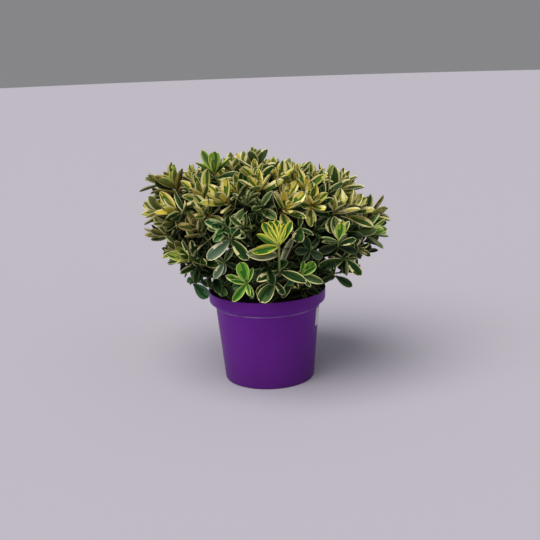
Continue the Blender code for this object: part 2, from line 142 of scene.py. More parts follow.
def new_piece(name, points, faces, *materials, edges=()):
    """A mesh object at the origin, with its place in its mesh."""
    mesh = bpy.data.meshes.new(name)
    mesh.from_pydata([tuple(point) for point in points], edges, faces)
    for material in materials:
        mesh.materials.append(material)
    piece = bpy.data.objects.new(name, mesh)
    bpy.context.scene.collection.objects.link(piece)
    return piece


def add_attribute(mesh, name, kind, values, domain="POINT"):
    field = "vector" if kind == "FLOAT_VECTOR" else "value"
    mesh.attributes.new(name, kind, domain).data.foreach_set(field, values)


def face_outwards(piece):
    edit = bmesh.new()
    edit.from_mesh(piece.data)
    bmesh.ops.recalc_face_normals(edit, faces=edit.faces)
    edit.to_mesh(piece.data)
    edit.free()
    return piece


def applied(piece):
    """Keeps what a piece's modifier makes as its plain mesh."""
    bpy.context.view_layer.update()
    evaluated = piece.evaluated_get(bpy.context.evaluated_depsgraph_get())
    mesh = bpy.data.meshes.new_from_object(evaluated)
    piece.modifiers.clear()
    piece.data = mesh
    mesh.name = piece.name
    return piece


def new_tree(name, **inputs):
    """An empty geometry tree with named inputs, where None stands for a collection."""
    tree = bpy.data.node_groups.new(name, "GeometryNodeTree")
    for side in ("INPUT", "OUTPUT"):
        tree.interface.new_socket("Geometry", in_out=side, socket_type="NodeSocketGeometry")
    for label, value in inputs.items():
        kind = SOCKET_KINDS[type(value)]
        socket = tree.interface.new_socket(label.replace("_", " "), in_out="INPUT", socket_type=kind)
        if value is not None:
            socket.default_value = value
    return tree, tree.nodes.new("NodeGroupInput").outputs


def real_copies(tree, points, forms, **more):
    """Copies of a collection's forms on points, as real faces."""
    inputs = {"Collection": forms, "Separate Children": True, "Reset Children": True}
    picked = add_node(tree, "GeometryNodeCollectionInfo", inputs)
    inputs = {"Points": points, "Instance": picked, "Pick Instance": True}
    inputs.update((name.replace("_", " "), value) for name, value in more.items())
    copies = add_node(tree, "GeometryNodeInstanceOnPoints", inputs)
    return add_node(tree, "GeometryNodeRealizeInstances", {0: copies})


def dressed(tree, geometry, material, **more):
    """Geometry with a material, all of it or only a selection."""
    inputs = {"Geometry": geometry, "Material": material, **more}
    return add_node(tree, "GeometryNodeSetMaterial", inputs)


def grown(piece, tree, *dropped, **values):
    """Runs a geometry tree on a piece and drops the attributes that only the tree needed."""
    modifier = piece.modifiers.new(tree.name, "NODES")
    modifier.node_group = tree
    for socket in tree.interface.items_tree:
        key = socket.name.replace(" ", "_")
        if socket.in_out == "INPUT" and key in values:
            modifier[socket.identifier] = values[key]
    applied(piece)
    for name in dropped:
        attribute = piece.data.attributes.get(name)
        if attribute:
            piece.data.attributes.remove(attribute)
    return piece


def declare(piece, slot, *nodes):
    """A finished piece rides on the plant's one body and stands for the nodes named."""
    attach(piece, "root")
    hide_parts(*nodes)


print("purple in linear numbers:", [round(c, 3) for c in linear("#5B1F86")[:3]])

# %% [markdown]
# ## Camera, floor and light
# The camera stands 1.8 m in front of the pot at the height of a seated person's eyes, looks
# 14 degrees down and is held about 2 degrees off level. Its lens gives the plant the size
# that it has in a square frame of 540 pixels. The floor is plain and pale. The key lamp is
# wide and soft and stands high on the left, as a roof window does. A weak window lamp low on
# the left and a weak fill lamp on the right open the shadows, and a dim studio lies round.

# %% Place the camera, the floor and the light
FRAME_PX = 540
FOCAL_PX = 930
CAMERA_PLACE = (0.007, -1.770, 0.660)
CAMERA_DOWN = 14.1
CAMERA_ROLL = -2.0
FLOOR_RADIUS = 14.0
FLOOR_SIDES = 96
STUDIO_STRENGTH = 0.36
# Azimuth from the front, elevation and apparent width in degrees, then strength and colour.
LAMPS = {
    "key_lamp": (-34, 56, 54, 2.95, "#FFFAF0"),
    "fill_lamp": (38, 38, 60, 0.32, "#F8F6F4"),
    "window_lamp": (-62, 22, 50, 0.42, "#F6F4FA"),
}

scene = bpy.context.scene
camera = bpy.data.objects.new("camera", bpy.data.cameras.new("camera"))
camera.data.lens = camera.data.sensor_width * FOCAL_PX / FRAME_PX
camera.matrix_world = (
    Matrix.Translation(CAMERA_PLACE)
    @ Matrix.Rotation(math.radians(90 - CAMERA_DOWN), 4, "X")
    @ Matrix.Rotation(math.radians(CAMERA_ROLL), 4, "Z")
)
scene.collection.objects.link(camera)
scene.camera = camera
scene.view_settings.view_transform = "Standard"

# Matt floor paint: pale and faintly cool, with no shine to speak of.
floor_paint = new_material("matt_floor_paint", "#B6B3C2", 0.9)
floor_rim = [2 * math.pi * i / FLOOR_SIDES for i in range(FLOOR_SIDES)]
floor_points = [(FLOOR_RADIUS * math.cos(a), FLOOR_RADIUS * math.sin(a), 0) for a in floor_rim]
floor = new_piece("floor", floor_points, [tuple(range(FLOOR_SIDES))], floor_paint)

scene.world = bpy.data.worlds.new("studio")
scene.world.use_nodes = True
studio = scene.world.node_tree.nodes["Background"]
studio.inputs["Color"].default_value = linear("#D5D5D8")
studio.inputs["Strength"].default_value = STUDIO_STRENGTH

# Sun lamps light the floor evenly out to its edge.
for name, (azimuth, elevation, width, strength, colour) in LAMPS.items():
    sun = bpy.data.objects.new(name, bpy.data.lights.new(name, "SUN"))
    sun.data.angle = math.radians(width)
    sun.data.energy = strength
    sun.data.color = linear(colour)[:3]
    towards = outward(azimuth, 90 - elevation)
    sun.matrix_world = towards.to_track_quat("Z", "Y").to_matrix().to_4x4()
    scene.collection.objects.link(sun)
print("lens in millimetres:", round(camera.data.lens, 1))

# %% [markdown]
# ## The pot
# The real pot is polypropylene, moulded in one shot: a thin tapered wall, a deep collar that
# slants in to a ledge, and a recessed floor with drain holes. The frame's pot has 40 flat
# sides. A finer pot is turned from the same sizes here, with its edges rounded, and replaces
# it. A turned profile suits it best, because every level of the real one is a circle.

# %% Turn the pot and cut its drain holes
POT_HEIGHT = 0.181
RIM_RADIUS = 0.115
COLLAR_FOOT_HEIGHT = POT_HEIGHT - 0.0225
COLLAR_FOOT_RADIUS = 0.1141
LEDGE_RADIUS = 0.1036
LEDGE_HEIGHT = 0.149
LEDGE_DEPTH = 0.0016
BODY_TOP_HEIGHT = LEDGE_HEIGHT - LEDGE_DEPTH
BODY_TOP_RADIUS = 0.102
BASE_RADIUS = 0.0882
WALL = 0.0018
FLOOR_TOP = 0.0055
FOOT_RECESS = 0.0035
FOOT_RING_RADIUS = 0.076
PAD_RADIUS = 0.022
DRAINS = 8
DRAIN_RADIUS = 0.0055
DRAIN_CIRCLE = 0.052
DRAIN_SIDES = 20
DRILL_ENDS = (-0.01, 0.02)
POT_SEGMENTS = 192
SMOOTH_UP_TO = 40
# Radius, height and rounding of each corner, from the axis below to the axis inside.
POT_CORNERS = (
    (0, 0, 0),
    (PAD_RADIUS, 0, 0.001),
    (PAD_RADIUS + 0.002, FOOT_RECESS, 0.001),
    (FOOT_RING_RADIUS - 0.002, FOOT_RECESS, 0.001),
    (FOOT_RING_RADIUS, 0, 0.001),
    (BASE_RADIUS, 0, 0.0035),
    (BODY_TOP_RADIUS, BODY_TOP_HEIGHT, 0.0008),
    (LEDGE_RADIUS, LEDGE_HEIGHT, 0.0006),
    (LEDGE_RADIUS - 0.0002, LEDGE_HEIGHT + 0.0009, 0.0003),
    (BODY_TOP_RADIUS - 0.0004, LEDGE_HEIGHT + 0.0026, 0.0005),
    (COLLAR_FOOT_RADIUS, COLLAR_FOOT_HEIGHT, 0.003),
    (RIM_RADIUS, POT_HEIGHT, 0.0008),
    (RIM_RADIUS - WALL, POT_HEIGHT, 0.0008),
    (COLLAR_FOOT_RADIUS - WALL, COLLAR_FOOT_HEIGHT, 0.003),
    (BODY_TOP_RADIUS - WALL, BODY_TOP_HEIGHT, 0.001),
    (BASE_RADIUS - WALL, FLOOR_TOP, 0.002),
    (0, FLOOR_TOP, 0),
)


def rounded(corners, steps=4):
    """The points of a profile, with each corner rounded off."""
    profile = []
    for i, (r, z, rounding) in enumerate(corners):
        if not rounding:
            profile.append((r, z))
            continue
        here = Vector((r, z))
        before = (Vector(corners[i - 1][:2]) - here).normalized() * rounding
        after = (Vector(corners[i + 1][:2]) - here).normalized() * rounding
        for step in range(steps + 1):
            t = step / steps
            profile.append(tuple(here + before * (1 - t) ** 2 + after * t**2))
    return profile


def turned(name, profile, segments, *materials, swell=None):
    """A closed solid turned about Z. The profile starts and ends on the axis."""
    points, rings, faces = [], [], []
    for radius, height in profile:
        count = segments if radius else 1
        rings.append(range(len(points), len(points) + count))
        for i in range(count):
            angle = 2 * math.pi * i / segments
            r = radius * swell(angle, height) if swell else radius
            points.append((r * math.cos(angle), r * math.sin(angle), height))
    for lower, upper in zip(rings, rings[1:]):
        for i in range(segments):
            around = ((lower, i), (lower, i + 1), (upper, i + 1), (upper, i))
            corners = [ring[k % len(ring)] for ring, k in around]
            faces.append(list(dict.fromkeys(corners)))
    return face_outwards(new_piece(name, points, faces, *materials))


def purple_polypropylene():
    """Moulded polypropylene: a satin skin with faint mottling and fine scuffs, painted shade low
    down and a painted highlight along the ledge.
    """
    skin = Skin("purple_polypropylene", "#5C1484", 0.40, Specular_IOR_Level=0.12)
    blotches = skin.noise(45, 4.0)
    colour = skin.blend(blotches, "#621C88", "#6E2498")
    # Painted shade: the wall is darkened towards its foot, where less light reaches it.
    height = add_node(skin.tree, "ShaderNodeSeparateXYZ", {0: skin.places}, "Z")
    colour = skin.blend(skin.ramp(height, 0.0, 0.14, 0.55, 0.0), colour, "#3C1652")
    # Scuffs run up and down the wall, so the noise is drawn out along Z.
    inputs = {"Vector": skin.places, "Scale": (1.0, 1.0, 0.12)}
    drawn_out = add_node(skin.tree, "ShaderNodeMapping", inputs)
    scuffs = skin.noise(2.5, 3.0, Vector=drawn_out, Roughness=0.6)
    colour = skin.blend(skin.ramp(scuffs, 0.66, 0.78, 0.0, 0.30), colour, "#7A4F98")
    # Painted highlight: a pale broken line along the ledge's edge, where the light catches it.
    off_ledge = maths(skin.tree, "SUBTRACT", height, LEDGE_HEIGHT + 0.0005)
    on_ledge = skin.ramp(maths(skin.tree, "ABSOLUTE", off_ledge), 0.0005, 0.0022, 1.0, 0.0)
    ledge_highlight_breaks = skin.ramp(skin.noise(30, 2.0), 0.40, 0.62, 0.15, 0.62)
    colour = skin.blend(maths(skin.tree, "MULTIPLY", on_ledge, ledge_highlight_breaks), colour, "#A58BBE")
    satin = skin.ramp(blotches, 0.3, 0.7, 0.34, 0.48)
    grain = skin.relief(skin.noise(1.6, 2.0), 0.12, 0.0004)
    return skin.done(Base_Color=colour, Roughness=satin, Normal=grain)


pot = turned("pot_shell", rounded(POT_CORNERS), POT_SEGMENTS, purple_polypropylene())
bottom, top = DRILL_ENDS
drill_profile = [(0, bottom), (DRAIN_RADIUS, bottom), (DRAIN_RADIUS, top), (0, top)]
for i in range(DRAINS):
    angle = 2 * math.pi * (i + 0.5) / DRAINS
    drill = turned("drill", drill_profile, DRAIN_SIDES)
    centre = (DRAIN_CIRCLE * math.cos(angle), DRAIN_CIRCLE * math.sin(angle), 0)
    drill.data.transform(Matrix.Translation(centre))
    hole = pot.modifiers.new("drain", "BOOLEAN")
    hole.object = drill
    hole.solver = "EXACT"
    applied(pot)
    bpy.data.objects.remove(drill)
pot.data.shade_smooth()
pot.data.set_sharp_from_angle(angle=math.radians(SMOOTH_UP_TO))
declare(pot, "purple_plastic", "pot")
print("pot faces:", len(pot.data.polygons))

# %% [markdown]
# ## The sticker
# A blank paper label is stuck on the pot's right side. It follows the tapering wall, so each
# of its columns is placed at the wall's radius, and its corners are rounded by shortening the
# outer columns. It stands a third of a millimetre proud, as in the frame.

# %% Make the blank sticker
STICKER_BOTTOM = 0.109
STICKER_TOP = 0.1455
STICKER_AZIMUTHS = (67, 103)
STICKER_LIFT = 0.0003
STICKER_THICKNESS = 0.0004
STICKER_CORNER = 0.003
STICKER_COLUMNS = 48


def coated_paper():
    """Coated label paper: a dull white with a trace of fibre."""
    skin = Skin("coated_label_paper", "#DAD7DA", 0.55)
    fibre = skin.noise(1.5, 4.0)
    colour = skin.blend(fibre, "#D2CED3", "#E4E2E4")
    return skin.done(Base_Color=colour, Normal=skin.relief(fibre, 0.15, 0.0002))


def wall_radius(height):
    """The outer radius of the pot's body at a height."""
    share = height / (LEDGE_HEIGHT - LEDGE_DEPTH / 2)
    return BASE_RADIUS + (BODY_TOP_RADIUS - BASE_RADIUS) * share


sticker_points, sticker_faces = [], []
sweep = math.radians(STICKER_AZIMUTHS[1] - STICKER_AZIMUTHS[0])
half_length = sweep * BODY_TOP_RADIUS / 2
for column in range(STICKER_COLUMNS + 1):
    # Columns crowd towards the two ends, where the rounded corners need them.
    along = -math.cos(math.pi * column / STICKER_COLUMNS)
    past_corner = max(0.0, abs(along) * half_length - (half_length - STICKER_CORNER))
    drop = STICKER_CORNER - math.sqrt(STICKER_CORNER**2 - past_corner**2)
    azimuth = math.radians(STICKER_AZIMUTHS[0]) + sweep * (1 + along) / 2
    for height in (STICKER_BOTTOM + drop, STICKER_TOP - drop):
        for lift in (STICKER_LIFT, STICKER_LIFT + STICKER_THICKNESS):
            r = wall_radius(height) + lift
            sticker_points.append((r * math.sin(azimuth), -r * math.cos(azimuth), height))
for near in range(0, 4 * STICKER_COLUMNS, 4):
    for a, b in ((0, 1), (1, 3), (3, 2), (2, 0)):
        sticker_faces.append((near + a, near + b, near + 4 + b, near + 4 + a))
last = 4 * STICKER_COLUMNS
sticker_faces += [(0, 1, 3, 2), (last, last + 1, last + 3, last + 2)]
sticker = face_outwards(new_piece("blank_sticker", sticker_points, sticker_faces, coated_paper()))
declare(sticker, "sticker_paper", "sticker")
print("sticker:", len(sticker.data.polygons), "faces")

# %% [markdown]
# ## The compost
# Potting compost is dark peat and composted bark, in crumbs of 1 to 6 mm. A lumpy bed carries
# the shape, and a geometry tree strews crumbs and slivers of bark over its top. Scattering is
# the tree's work, because the crumbs follow a surface and there are many.

# %% Lay the compost
COMPOST_EDGE_HEIGHT = 0.1605
COMPOST_HEIGHT = 0.164
COMPOST_FLAT_RADIUS = 0.024
COMPOST_GAP = 0.0005
COMPOST_SEGMENTS = 96
COMPOST_RINGS = 36
LUMP_HEIGHT = 0.002
LUMP_WIDTH_MM = 9
FACES_UP_FROM = 0.6
EDGE_CLEARANCE = 0.0008
CRUMB_RADIUS = 0.0011
CRUMB_ROUGHNESS = (0.75, 1.25)
CRUMB_SIZES = (0.5, 1.8)
# How long, wide and high three rough crumbs and two slivers of bark are.
CRUMB_SHAPES = ((1, 0.8, 0.7), (0.9, 0.9, 0.6), (1.1, 0.7, 0.8), (2.6, 0.8, 0.35), (2.0, 1.0, 0.3))
FULL_TURN = (6.28, 6.28, 6.28)


def potting_compost(name, dark, light):
    """Moist compost: nearly black, rough, with paler fibres that a fine noise picks out."""
    skin = Skin(name, dark, 0.92)
    crumb = skin.noise(3, 6.0)
    return skin.done(Base_Color=skin.blend(crumb, dark, light), Normal=skin.relief(crumb, 0.7, 0.001))


def crumb_forms(chance):
    """The crumbs and slivers, a millimetre or so across before scaling."""
    forms = bpy.data.collections.new("crumbs")
    for number, shape in enumerate(CRUMB_SHAPES):
        edit = bmesh.new()
        bmesh.ops.create_icosphere(edit, subdivisions=1, radius=CRUMB_RADIUS)
        for corner in edit.verts:
            corner.co *= chance.uniform(*CRUMB_ROUGHNESS)
            corner.co = Vector([x * share for x, share in zip(corner.co, shape)])
        mesh = bpy.data.meshes.new(f"crumb_{number}")
        edit.to_mesh(mesh)
        edit.free()
        forms.objects.link(bpy.data.objects.new(f"crumb_{number}", mesh))
    return forms


def crumb_tree(bed_material, crumb_material):
    """Lifts the bed into lumps and strews crumbs over its upper face."""
    tree, given = new_tree(
        "strewn_compost", Forms=None, Lump_height=LUMP_HEIGHT, Crumbs_per_square_metre=60000.0, Seed=5
    )
    normal = add_node(tree, "GeometryNodeInputNormal")
    upright = add_node(tree, "ShaderNodeSeparateXYZ", {0: normal}, "Z")
    inputs = {0: upright, 1: FACES_UP_FROM}
    is_top = add_node(tree, "FunctionNodeCompare", inputs, operation="GREATER_THAN")
    lumps = add_node(tree, "ShaderNodeTexNoise", {"Scale": 1000 / LUMP_WIDTH_MM, "Detail": 3.0})
    rise = maths(tree, "MULTIPLY", lumps, given["Lump height"])
    offset = add_node(tree, "ShaderNodeCombineXYZ", {"Z": rise})
    inputs = {"Geometry": given["Geometry"], "Selection": is_top, "Offset": offset}
    bed = add_node(tree, "GeometryNodeSetPosition", inputs)
    density = given["Crumbs per square metre"]
    inputs = {"Mesh": bed, "Selection": is_top, "Density": density, "Seed": given["Seed"]}
    spots = add_node(tree, "GeometryNodeDistributePointsOnFaces", inputs)
    inputs = {1: FULL_TURN, "Seed": given["Seed"]}
    turn = add_node(tree, "FunctionNodeRandomValue", inputs, data_type="FLOAT_VECTOR")
    rotation = add_node(tree, "FunctionNodeEulerToRotation", {0: turn})
    smallest, largest = CRUMB_SIZES
    size = add_node(tree, "FunctionNodeRandomValue", {2: smallest, 3: largest, "Seed": 3}, 1)
    crumbs = real_copies(tree, spots, given["Forms"], Rotation=rotation, Scale=size)
    both = [dressed(tree, bed, bed_material), dressed(tree, crumbs, crumb_material)]
    add_node(tree, "NodeGroupOutput", {0: add_node(tree, "GeometryNodeJoinGeometry", {0: both})})
    return tree


bore_foot = BASE_RADIUS - WALL - COMPOST_GAP
bore_neck = BODY_TOP_RADIUS - WALL - COMPOST_GAP
slant = (COMPOST_EDGE_HEIGHT - LEDGE_HEIGHT) / (COLLAR_FOOT_HEIGHT - LEDGE_HEIGHT)
bed_edge = bore_neck + (COLLAR_FOOT_RADIUS - BODY_TOP_RADIUS) * min(1.0, slant) - EDGE_CLEARANCE
bed_profile = [(0, FLOOR_TOP + COMPOST_GAP), (bore_foot, FLOOR_TOP + COMPOST_GAP)]
bed_profile += [(bore_neck, BODY_TOP_HEIGHT), (bed_edge, COMPOST_EDGE_HEIGHT)]
for ring in range(1, COMPOST_RINGS + 1):
    r = bed_edge * (1 - ring / COMPOST_RINGS)
    heaped = min(1.0, (bed_edge - r) / (bed_edge - COMPOST_FLAT_RADIUS))
    height = COMPOST_EDGE_HEIGHT + (COMPOST_HEIGHT - LUMP_HEIGHT - COMPOST_EDGE_HEIGHT) * heaped
    bed_profile.append((r, height))
compost = turned("compost_bed", bed_profile, COMPOST_SEGMENTS)
peat = potting_compost("moist_peat", "#17110D", "#33271D")
crumb_bark = potting_compost("bark_crumbs", "#1E1510", "#4A3526")
grown(compost, crumb_tree(peat, crumb_bark), Forms=crumb_forms(random.Random(8)))
declare(compost, "compost", "compost")
print("compost faces:", len(compost.data.polygons))

# %% [markdown]
# ## How the crown grows
# The frame's crown follows a rule, and the same rule is written again here, with the same
# seeds, so that every limb and shoot stands where the frame has it. Rings of masses lie round
# a dome. Each has a limb from the trunk's knob, which runs on as the mass's stem and then
# splits into side twigs that all end on the dome. A superellipse gives the dome's outline,
# because the real crown is broader and flatter than a ball.

# %% Write the crown's rule again
SEED = 23
TRUNK_GROUND = COMPOST_HEIGHT + 0.0003
KNOB_RADIUS = 0.019
KNOB = Vector((0, 0, TRUNK_GROUND + 0.0205))
CROWN_CENTRE = Vector((0, 0, 0.300))
CROWN_RADIUS = 0.243
CROWN_UP = 0.148
CROWN_DOWN = 0.125
CROWN_SQUARENESS = 2.5
Ring = namedtuple("Ring", "name masses first_azimuth polar foot_polar tip_polar twigs spread")
RINGS = (
    Ring("skirt", 6, -44, polar=112, foot_polar=79, tip_polar=84, twigs=2, spread=13),
    Ring("side", 8, -36, polar=86, foot_polar=61, tip_polar=60, twigs=3, spread=11),
    Ring("shoulder", 6, -62, polar=58, foot_polar=43, tip_polar=40, twigs=3, spread=12),
    Ring("crest", 3, -28, polar=30, foot_polar=24, tip_polar=20, twigs=3, spread=14),
    Ring("top", 1, 150, polar=4, foot_polar=1, tip_polar=4, twigs=3, spread=11),
)
AZIMUTH_JITTER = 2.0
REACH_JITTER = 0.03
# Masses that reach further out or less far than the dome.
REACH = {
    "side_2": 1.04,
    "side_8": 0.95,
    "shoulder_1": 1.03,
    "shoulder_3": 0.96,
    "shoulder_4": 0.92,
    "crest_1": 1.07,
    "crest_2": 0.90,
    "top_1": 0.94,
}
CURVE_PULL = 0.38
STEM_STARTS_AT = 0.54
SPACE_POINT_AT = 0.80
TIP_LEAF_REACH = 0.033
Mass = namedtuple("Mass", "name ring azimuth reach turn curve space_point")


def angles_of(way):
    """A unit vector's azimuth from the front and polar angle, in degrees."""
    return math.degrees(math.atan2(way.x, -way.y)), math.degrees(math.acos(way.z))


def direction_of(point):
    """The azimuth and polar angle of a point, seen from the crown's centre."""
    return angles_of((point - CROWN_CENTRE).normalized())


def dome_reach(polar):
    """Distance from the crown's centre to its outline at a polar angle."""
    lean = math.radians(polar)
    upright = CROWN_UP if polar < 90 else CROWN_DOWN
    across = abs(math.sin(lean) / CROWN_RADIUS) ** CROWN_SQUARENESS
    along = abs(math.cos(lean) / upright) ** CROWN_SQUARENESS
    return (across + along) ** (-1 / CROWN_SQUARENESS)


def dome_point(azimuth, polar, share):
    """A point in a direction from the crown's centre, at a share of the dome's reach."""
    return CROWN_CENTRE + outward(azimuth, polar) * dome_reach(polar) * share


def dome_share(point):
    """How far out a point lies: 1 on the crown's outline, less inside it."""
    return (point - CROWN_CENTRE).length / dome_reach(direction_of(point)[1])


def curve_point(curve, share):
    p0, p1, p2, p3 = curve
    rest = 1 - share
    return p0 * rest**3 + p1 * 3 * rest**2 * share + p2 * 3 * rest * share**2 + p3 * share**3


def line_along(curve, start, end, steps):
    return [curve_point(curve, start + (end - start) * i / steps) for i in range(steps + 1)]


def length_of(line):
    return sum((b - a).length for a, b in zip(line, line[1:]))


def curve_between(start, leaving, end, arriving, last_pull=CURVE_PULL):
    """A curve that leaves and arrives along two directions."""
    apart = (end - start).length
    return start, start + leaving * apart * CURVE_PULL, end - arriving * apart * last_pull, end


def shoot_end(azimuth, polar, tip_polar, reach):
    """Where a shoot ends and the way it points."""
    pointing = outward(azimuth, tip_polar)
    return dome_point(azimuth, polar, reach) - pointing * TIP_LEAF_REACH, pointing


def plan_masses():
    """The frame's masses, ring by ring."""
    chance = random.Random(SEED)
    masses = []
    for ring in RINGS:
        for i in range(ring.masses):
            name = f"{ring.name}_{i + 1}"
            azimuth = ring.first_azimuth + 360 * i / ring.masses
            azimuth += chance.uniform(-AZIMUTH_JITTER, AZIMUTH_JITTER)
            reach = REACH.get(name, 1.0) + chance.uniform(-REACH_JITTER, 0)
            end, pointing = shoot_end(azimuth, ring.polar, ring.tip_polar, reach)
            curve = curve_between(KNOB, outward(azimuth, ring.foot_polar), end, pointing)
            turn = chance.uniform(0, 360)
            space_point = curve_point(curve, SPACE_POINT_AT)
            masses.append(Mass(name, ring, azimuth, reach, turn, curve, space_point))
    return masses


masses = plan_masses()
print("masses:", len(masses), "with", sum(1 + mass.ring.twigs for mass in masses), "shoots")

# %% [markdown]
# ## Where the rosettes stand
# Each shoot ends in a rosette of leaves. The rosettes that show best at the front are placed
# one by one, as an azimuth and a polar angle on the dome, with how their leaves look. The nearest
# shoot of the rule bends to each, or a new twig grows to it. Everywhere else seeded darts are
# thrown at the dome, and a finer twig grows to each dart that lands well clear of the rosettes
# already there. That fills the crown evenly, as light does on the real plant.

# %% Aim the shoots and fill the crown
Rosette = namedtuple("Rosette", "look azimuth polar size reach lean hangs", defaults=(0.93, None, False))
ROSETTES = (
    ("leader", 6, 79.6, 1.0, 0.97, 8),
    ("fresh", -9, 101, 1.0, 1.04, 78, True),
    ("bronze", -71, 56, 1.05, 1.05, 22),
    ("olive", -88, 65, 0.98, 1.08, 72),
    ("gold", -55, 70, 1.0, 0.98),
    ("gold", -47, 58, 1.05),
    ("straw", -66, 51, 0.95),
    ("peak", -46.5, 40, 1.0, 1.08, 8),
    ("straw", -48, 29, 0.9, 0.97),
    ("gold", -26, 60, 1.05),
    ("gold", -3, 50, 1.0),
    ("lime", -13, 19, 0.88, 1.09, 10),
    ("grey", -11, 61, 0.8, 0.9),
    ("grey", -2, 63, 0.78, 0.9),
    ("deep", -2, 75, 0.85, 0.84),
    ("gold", 44, 38, 0.95, 0.87),
    ("gold", 24, 36, 0.95, 0.85),
    ("gold", 34, 53, 0.95),
    ("straw", 61, 47, 0.92, 0.87),
    ("gold", 13, 66, 1.0),
    ("gold", 30, 65, 0.92),
    ("straw", 64, 58, 1.02, 0.95, 40),
    ("straw", 43, 68, 0.95, 0.93, 25),
    ("straw", 57, 73, 0.95),
    ("olive", 78, 80, 1.0, 0.97, 62),
    ("glossy", 68, 88, 1.0, 0.96, 74),
    ("cup", 35, 81, 1.0, 0.95, 8),
    ("mature", 56, 95, 0.8, 0.95, 84),
    ("disc", 18.5, 80.5, 1.0, 0.95, 88),
    ("hollow", 23, 91, 1.0, 0.95, 88),
    ("sprig", 17.5, 101.5, 1.22, 1.0, 92),
    ("hung", 45, 98, 1.0, 0.97, 88, True),
    ("tail", 39, 106, 1.0, 1.0, 96, True),
    ("oval", 4, 103, 1.0, 1.0, 86, True),
    ("mature", 14, 105, 0.95, 0.93, 80),
    ("grey", -11, 75, 0.75),
    ("fern", -20, 79, 0.75, 0.95, 84),
    ("glaucous", -17, 84, 1.0, 0.95, 84),
    ("lime", -42, 92, 0.85, 0.95),
    ("olive", -70, 87, 0.95, 0.95, 80),
    ("olive", -53, 92, 0.9, 0.93, 84),
    ("mature", -42, 98, 1.0, 0.88),
    ("deep", -36, 104, 1.0, 0.86),
    ("round", -50.5, 112, 1.0, 0.98, 98, True),
    ("spear", -50, 97, 1.0, 0.94, 92),
    ("deep", 31, 105, 0.85, 0.88),
    ("deep", 52, 130, 0.85, 0.9, 60),
    ("deep", -7, 84, 1.0, 0.86),
    ("deep", 28, 79, 0.9, 0.86),
    ("deep", 62, 86, 0.9, 0.84),
    ("coin", -29, 112, 1.0, 0.94, 96, True),
    ("drop", -21, 95, 1.0, 0.95, 90),
    ("rusty", -36, 77, 0.78, 0.95),
    ("mature", 50, 60, 0.9, 0.9),
    ("deep", 27, 100, 0.9, 0.86),
    ("deep", -34, 88, 1.0, 0.84),
    ("deep", -57, 88, 0.9, 0.82),
    ("olive", -60, 80, 0.85, 0.93, 78),
    ("olive", -94, 72, 0.85, 0.97, 80),
    ("straw", -80, 77, 0.9, 0.97, 78),
)
ROSETTE_HEAD = 0.026
NEAREST_SHOOT = 0.040
FIRST_TWIG_AT = 0.64
TWIG_EVERY = 0.07
# A side twig leans out with its place, and each one reaches a little less far than the last.
TWIG_LEAN = 0.8
TWIG_REACH, TWIG_REACH_LOSS = 0.97, 0.02
TWIG_TURNS_OUT = 0.7
FINE_TWIG_LENGTH = 0.075
FINE_TWIG_BEND = 0.25
FORKS_UP_TO = 0.7
STRAIGHT = {"leader": 0.8}
DARTS = 6000
FILL_SEED, INNER_SEED = 41, 43
OUTER_SHARE = 0.98
DART_REACH = (0.93, 1.0)
# A shoot ends inside the dome that its leaves reach, and counts in layers up to a depth away.
LEAVES_SHARE = 0.15
LAYER_DEPTH = 0.25
LOWEST_POLAR = 108
INNER_LOWEST_POLAR = 140
STEM_SHOWS = 0.03
SPACING = 0.036
# Rosettes stand wider apart low down, from one polar angle on and fully after a few degrees.
WIDER_BY = 0.018
WIDER_FROM, WIDER_WITHIN = 75, 25
# Two smaller domes inside, each with its share of the crown's reach and its spacing.
INNER_LAYERS = ((0.74, 0.044), (0.52, 0.042))
# The real crown isn't even. Each swelling has an azimuth, a polar angle, a width and a height.
SWELLINGS = (
    (0, 0, 45, -0.13),
    (70, 38, 32, -0.09),
    (95, 58, 26, -0.07),
    (-95, 66, 20, 0.03),
    (-80, 112, 26, -0.16),
    (90, 110, 24, -0.12),
    (180, 112, 60, -0.10),
)
POT_MARGIN = 0.004
DART_MARGIN = 0.012
MOUTH_RADIUS = 0.103
SKIRT_RISE = (0.03, 0.10)
LEFT_RISE = 0.045
SKIRT_WIDTH = 0.125
SKIRT_CURVE = 1.7


class Shoot:
    """A twig's curve from its start to its end, and what its rosette looks like."""

    def __init__(self, mass, start, leaving, end, pointing, look=None, first_pair=0):
        self.mass, self.start, self.leaving = mass, start, leaving
        self.end, self.pointing = end, pointing
        self.look, self.first_pair = look, first_pair
        self.size = 1.0
        self.taken = self.hangs = False

    def curve(self):
        last_pull = STRAIGHT.get(self.look, CURVE_PULL)
        return curve_between(self.start, self.leaving, self.end, self.pointing, last_pull)


def clamped(value):
    return max(0.0, min(1.0, value))


def spread_from(azimuth, polar, spread, around):
    """The azimuth and polar angle a spread away from a direction, to the side `around`."""
    middle = outward(azimuth, polar)
    level = outward(azimuth + 90, 90)
    around, spread = math.radians(around), math.radians(spread)
    side = level * math.cos(around) + middle.cross(level) * math.sin(around)
    return angles_of(middle * math.cos(spread) + side * math.sin(spread))


def rule_tip_polar(polar):
    """How far from upright a shoot points, read between the rings' own values."""
    known = sorted((ring.polar, ring.tip_polar) for ring in RINGS)
    for (low, at_low), (high, at_high) in zip(known, known[1:]):
        if polar <= high:
            return at_low + (at_high - at_low) * max(0.0, (polar - low) / (high - low))
    return known[-1][1]


def evenness(azimuth, polar):
    """The crown's reach in a direction, as a share of the dome's."""
    here = outward(azimuth, polar)
    share = 1.0
    for *middle, width, height in SWELLINGS:
        apart = math.degrees(here.angle(outward(*middle)))
        share += height * math.exp(-((apart / width) ** 2))
    return share


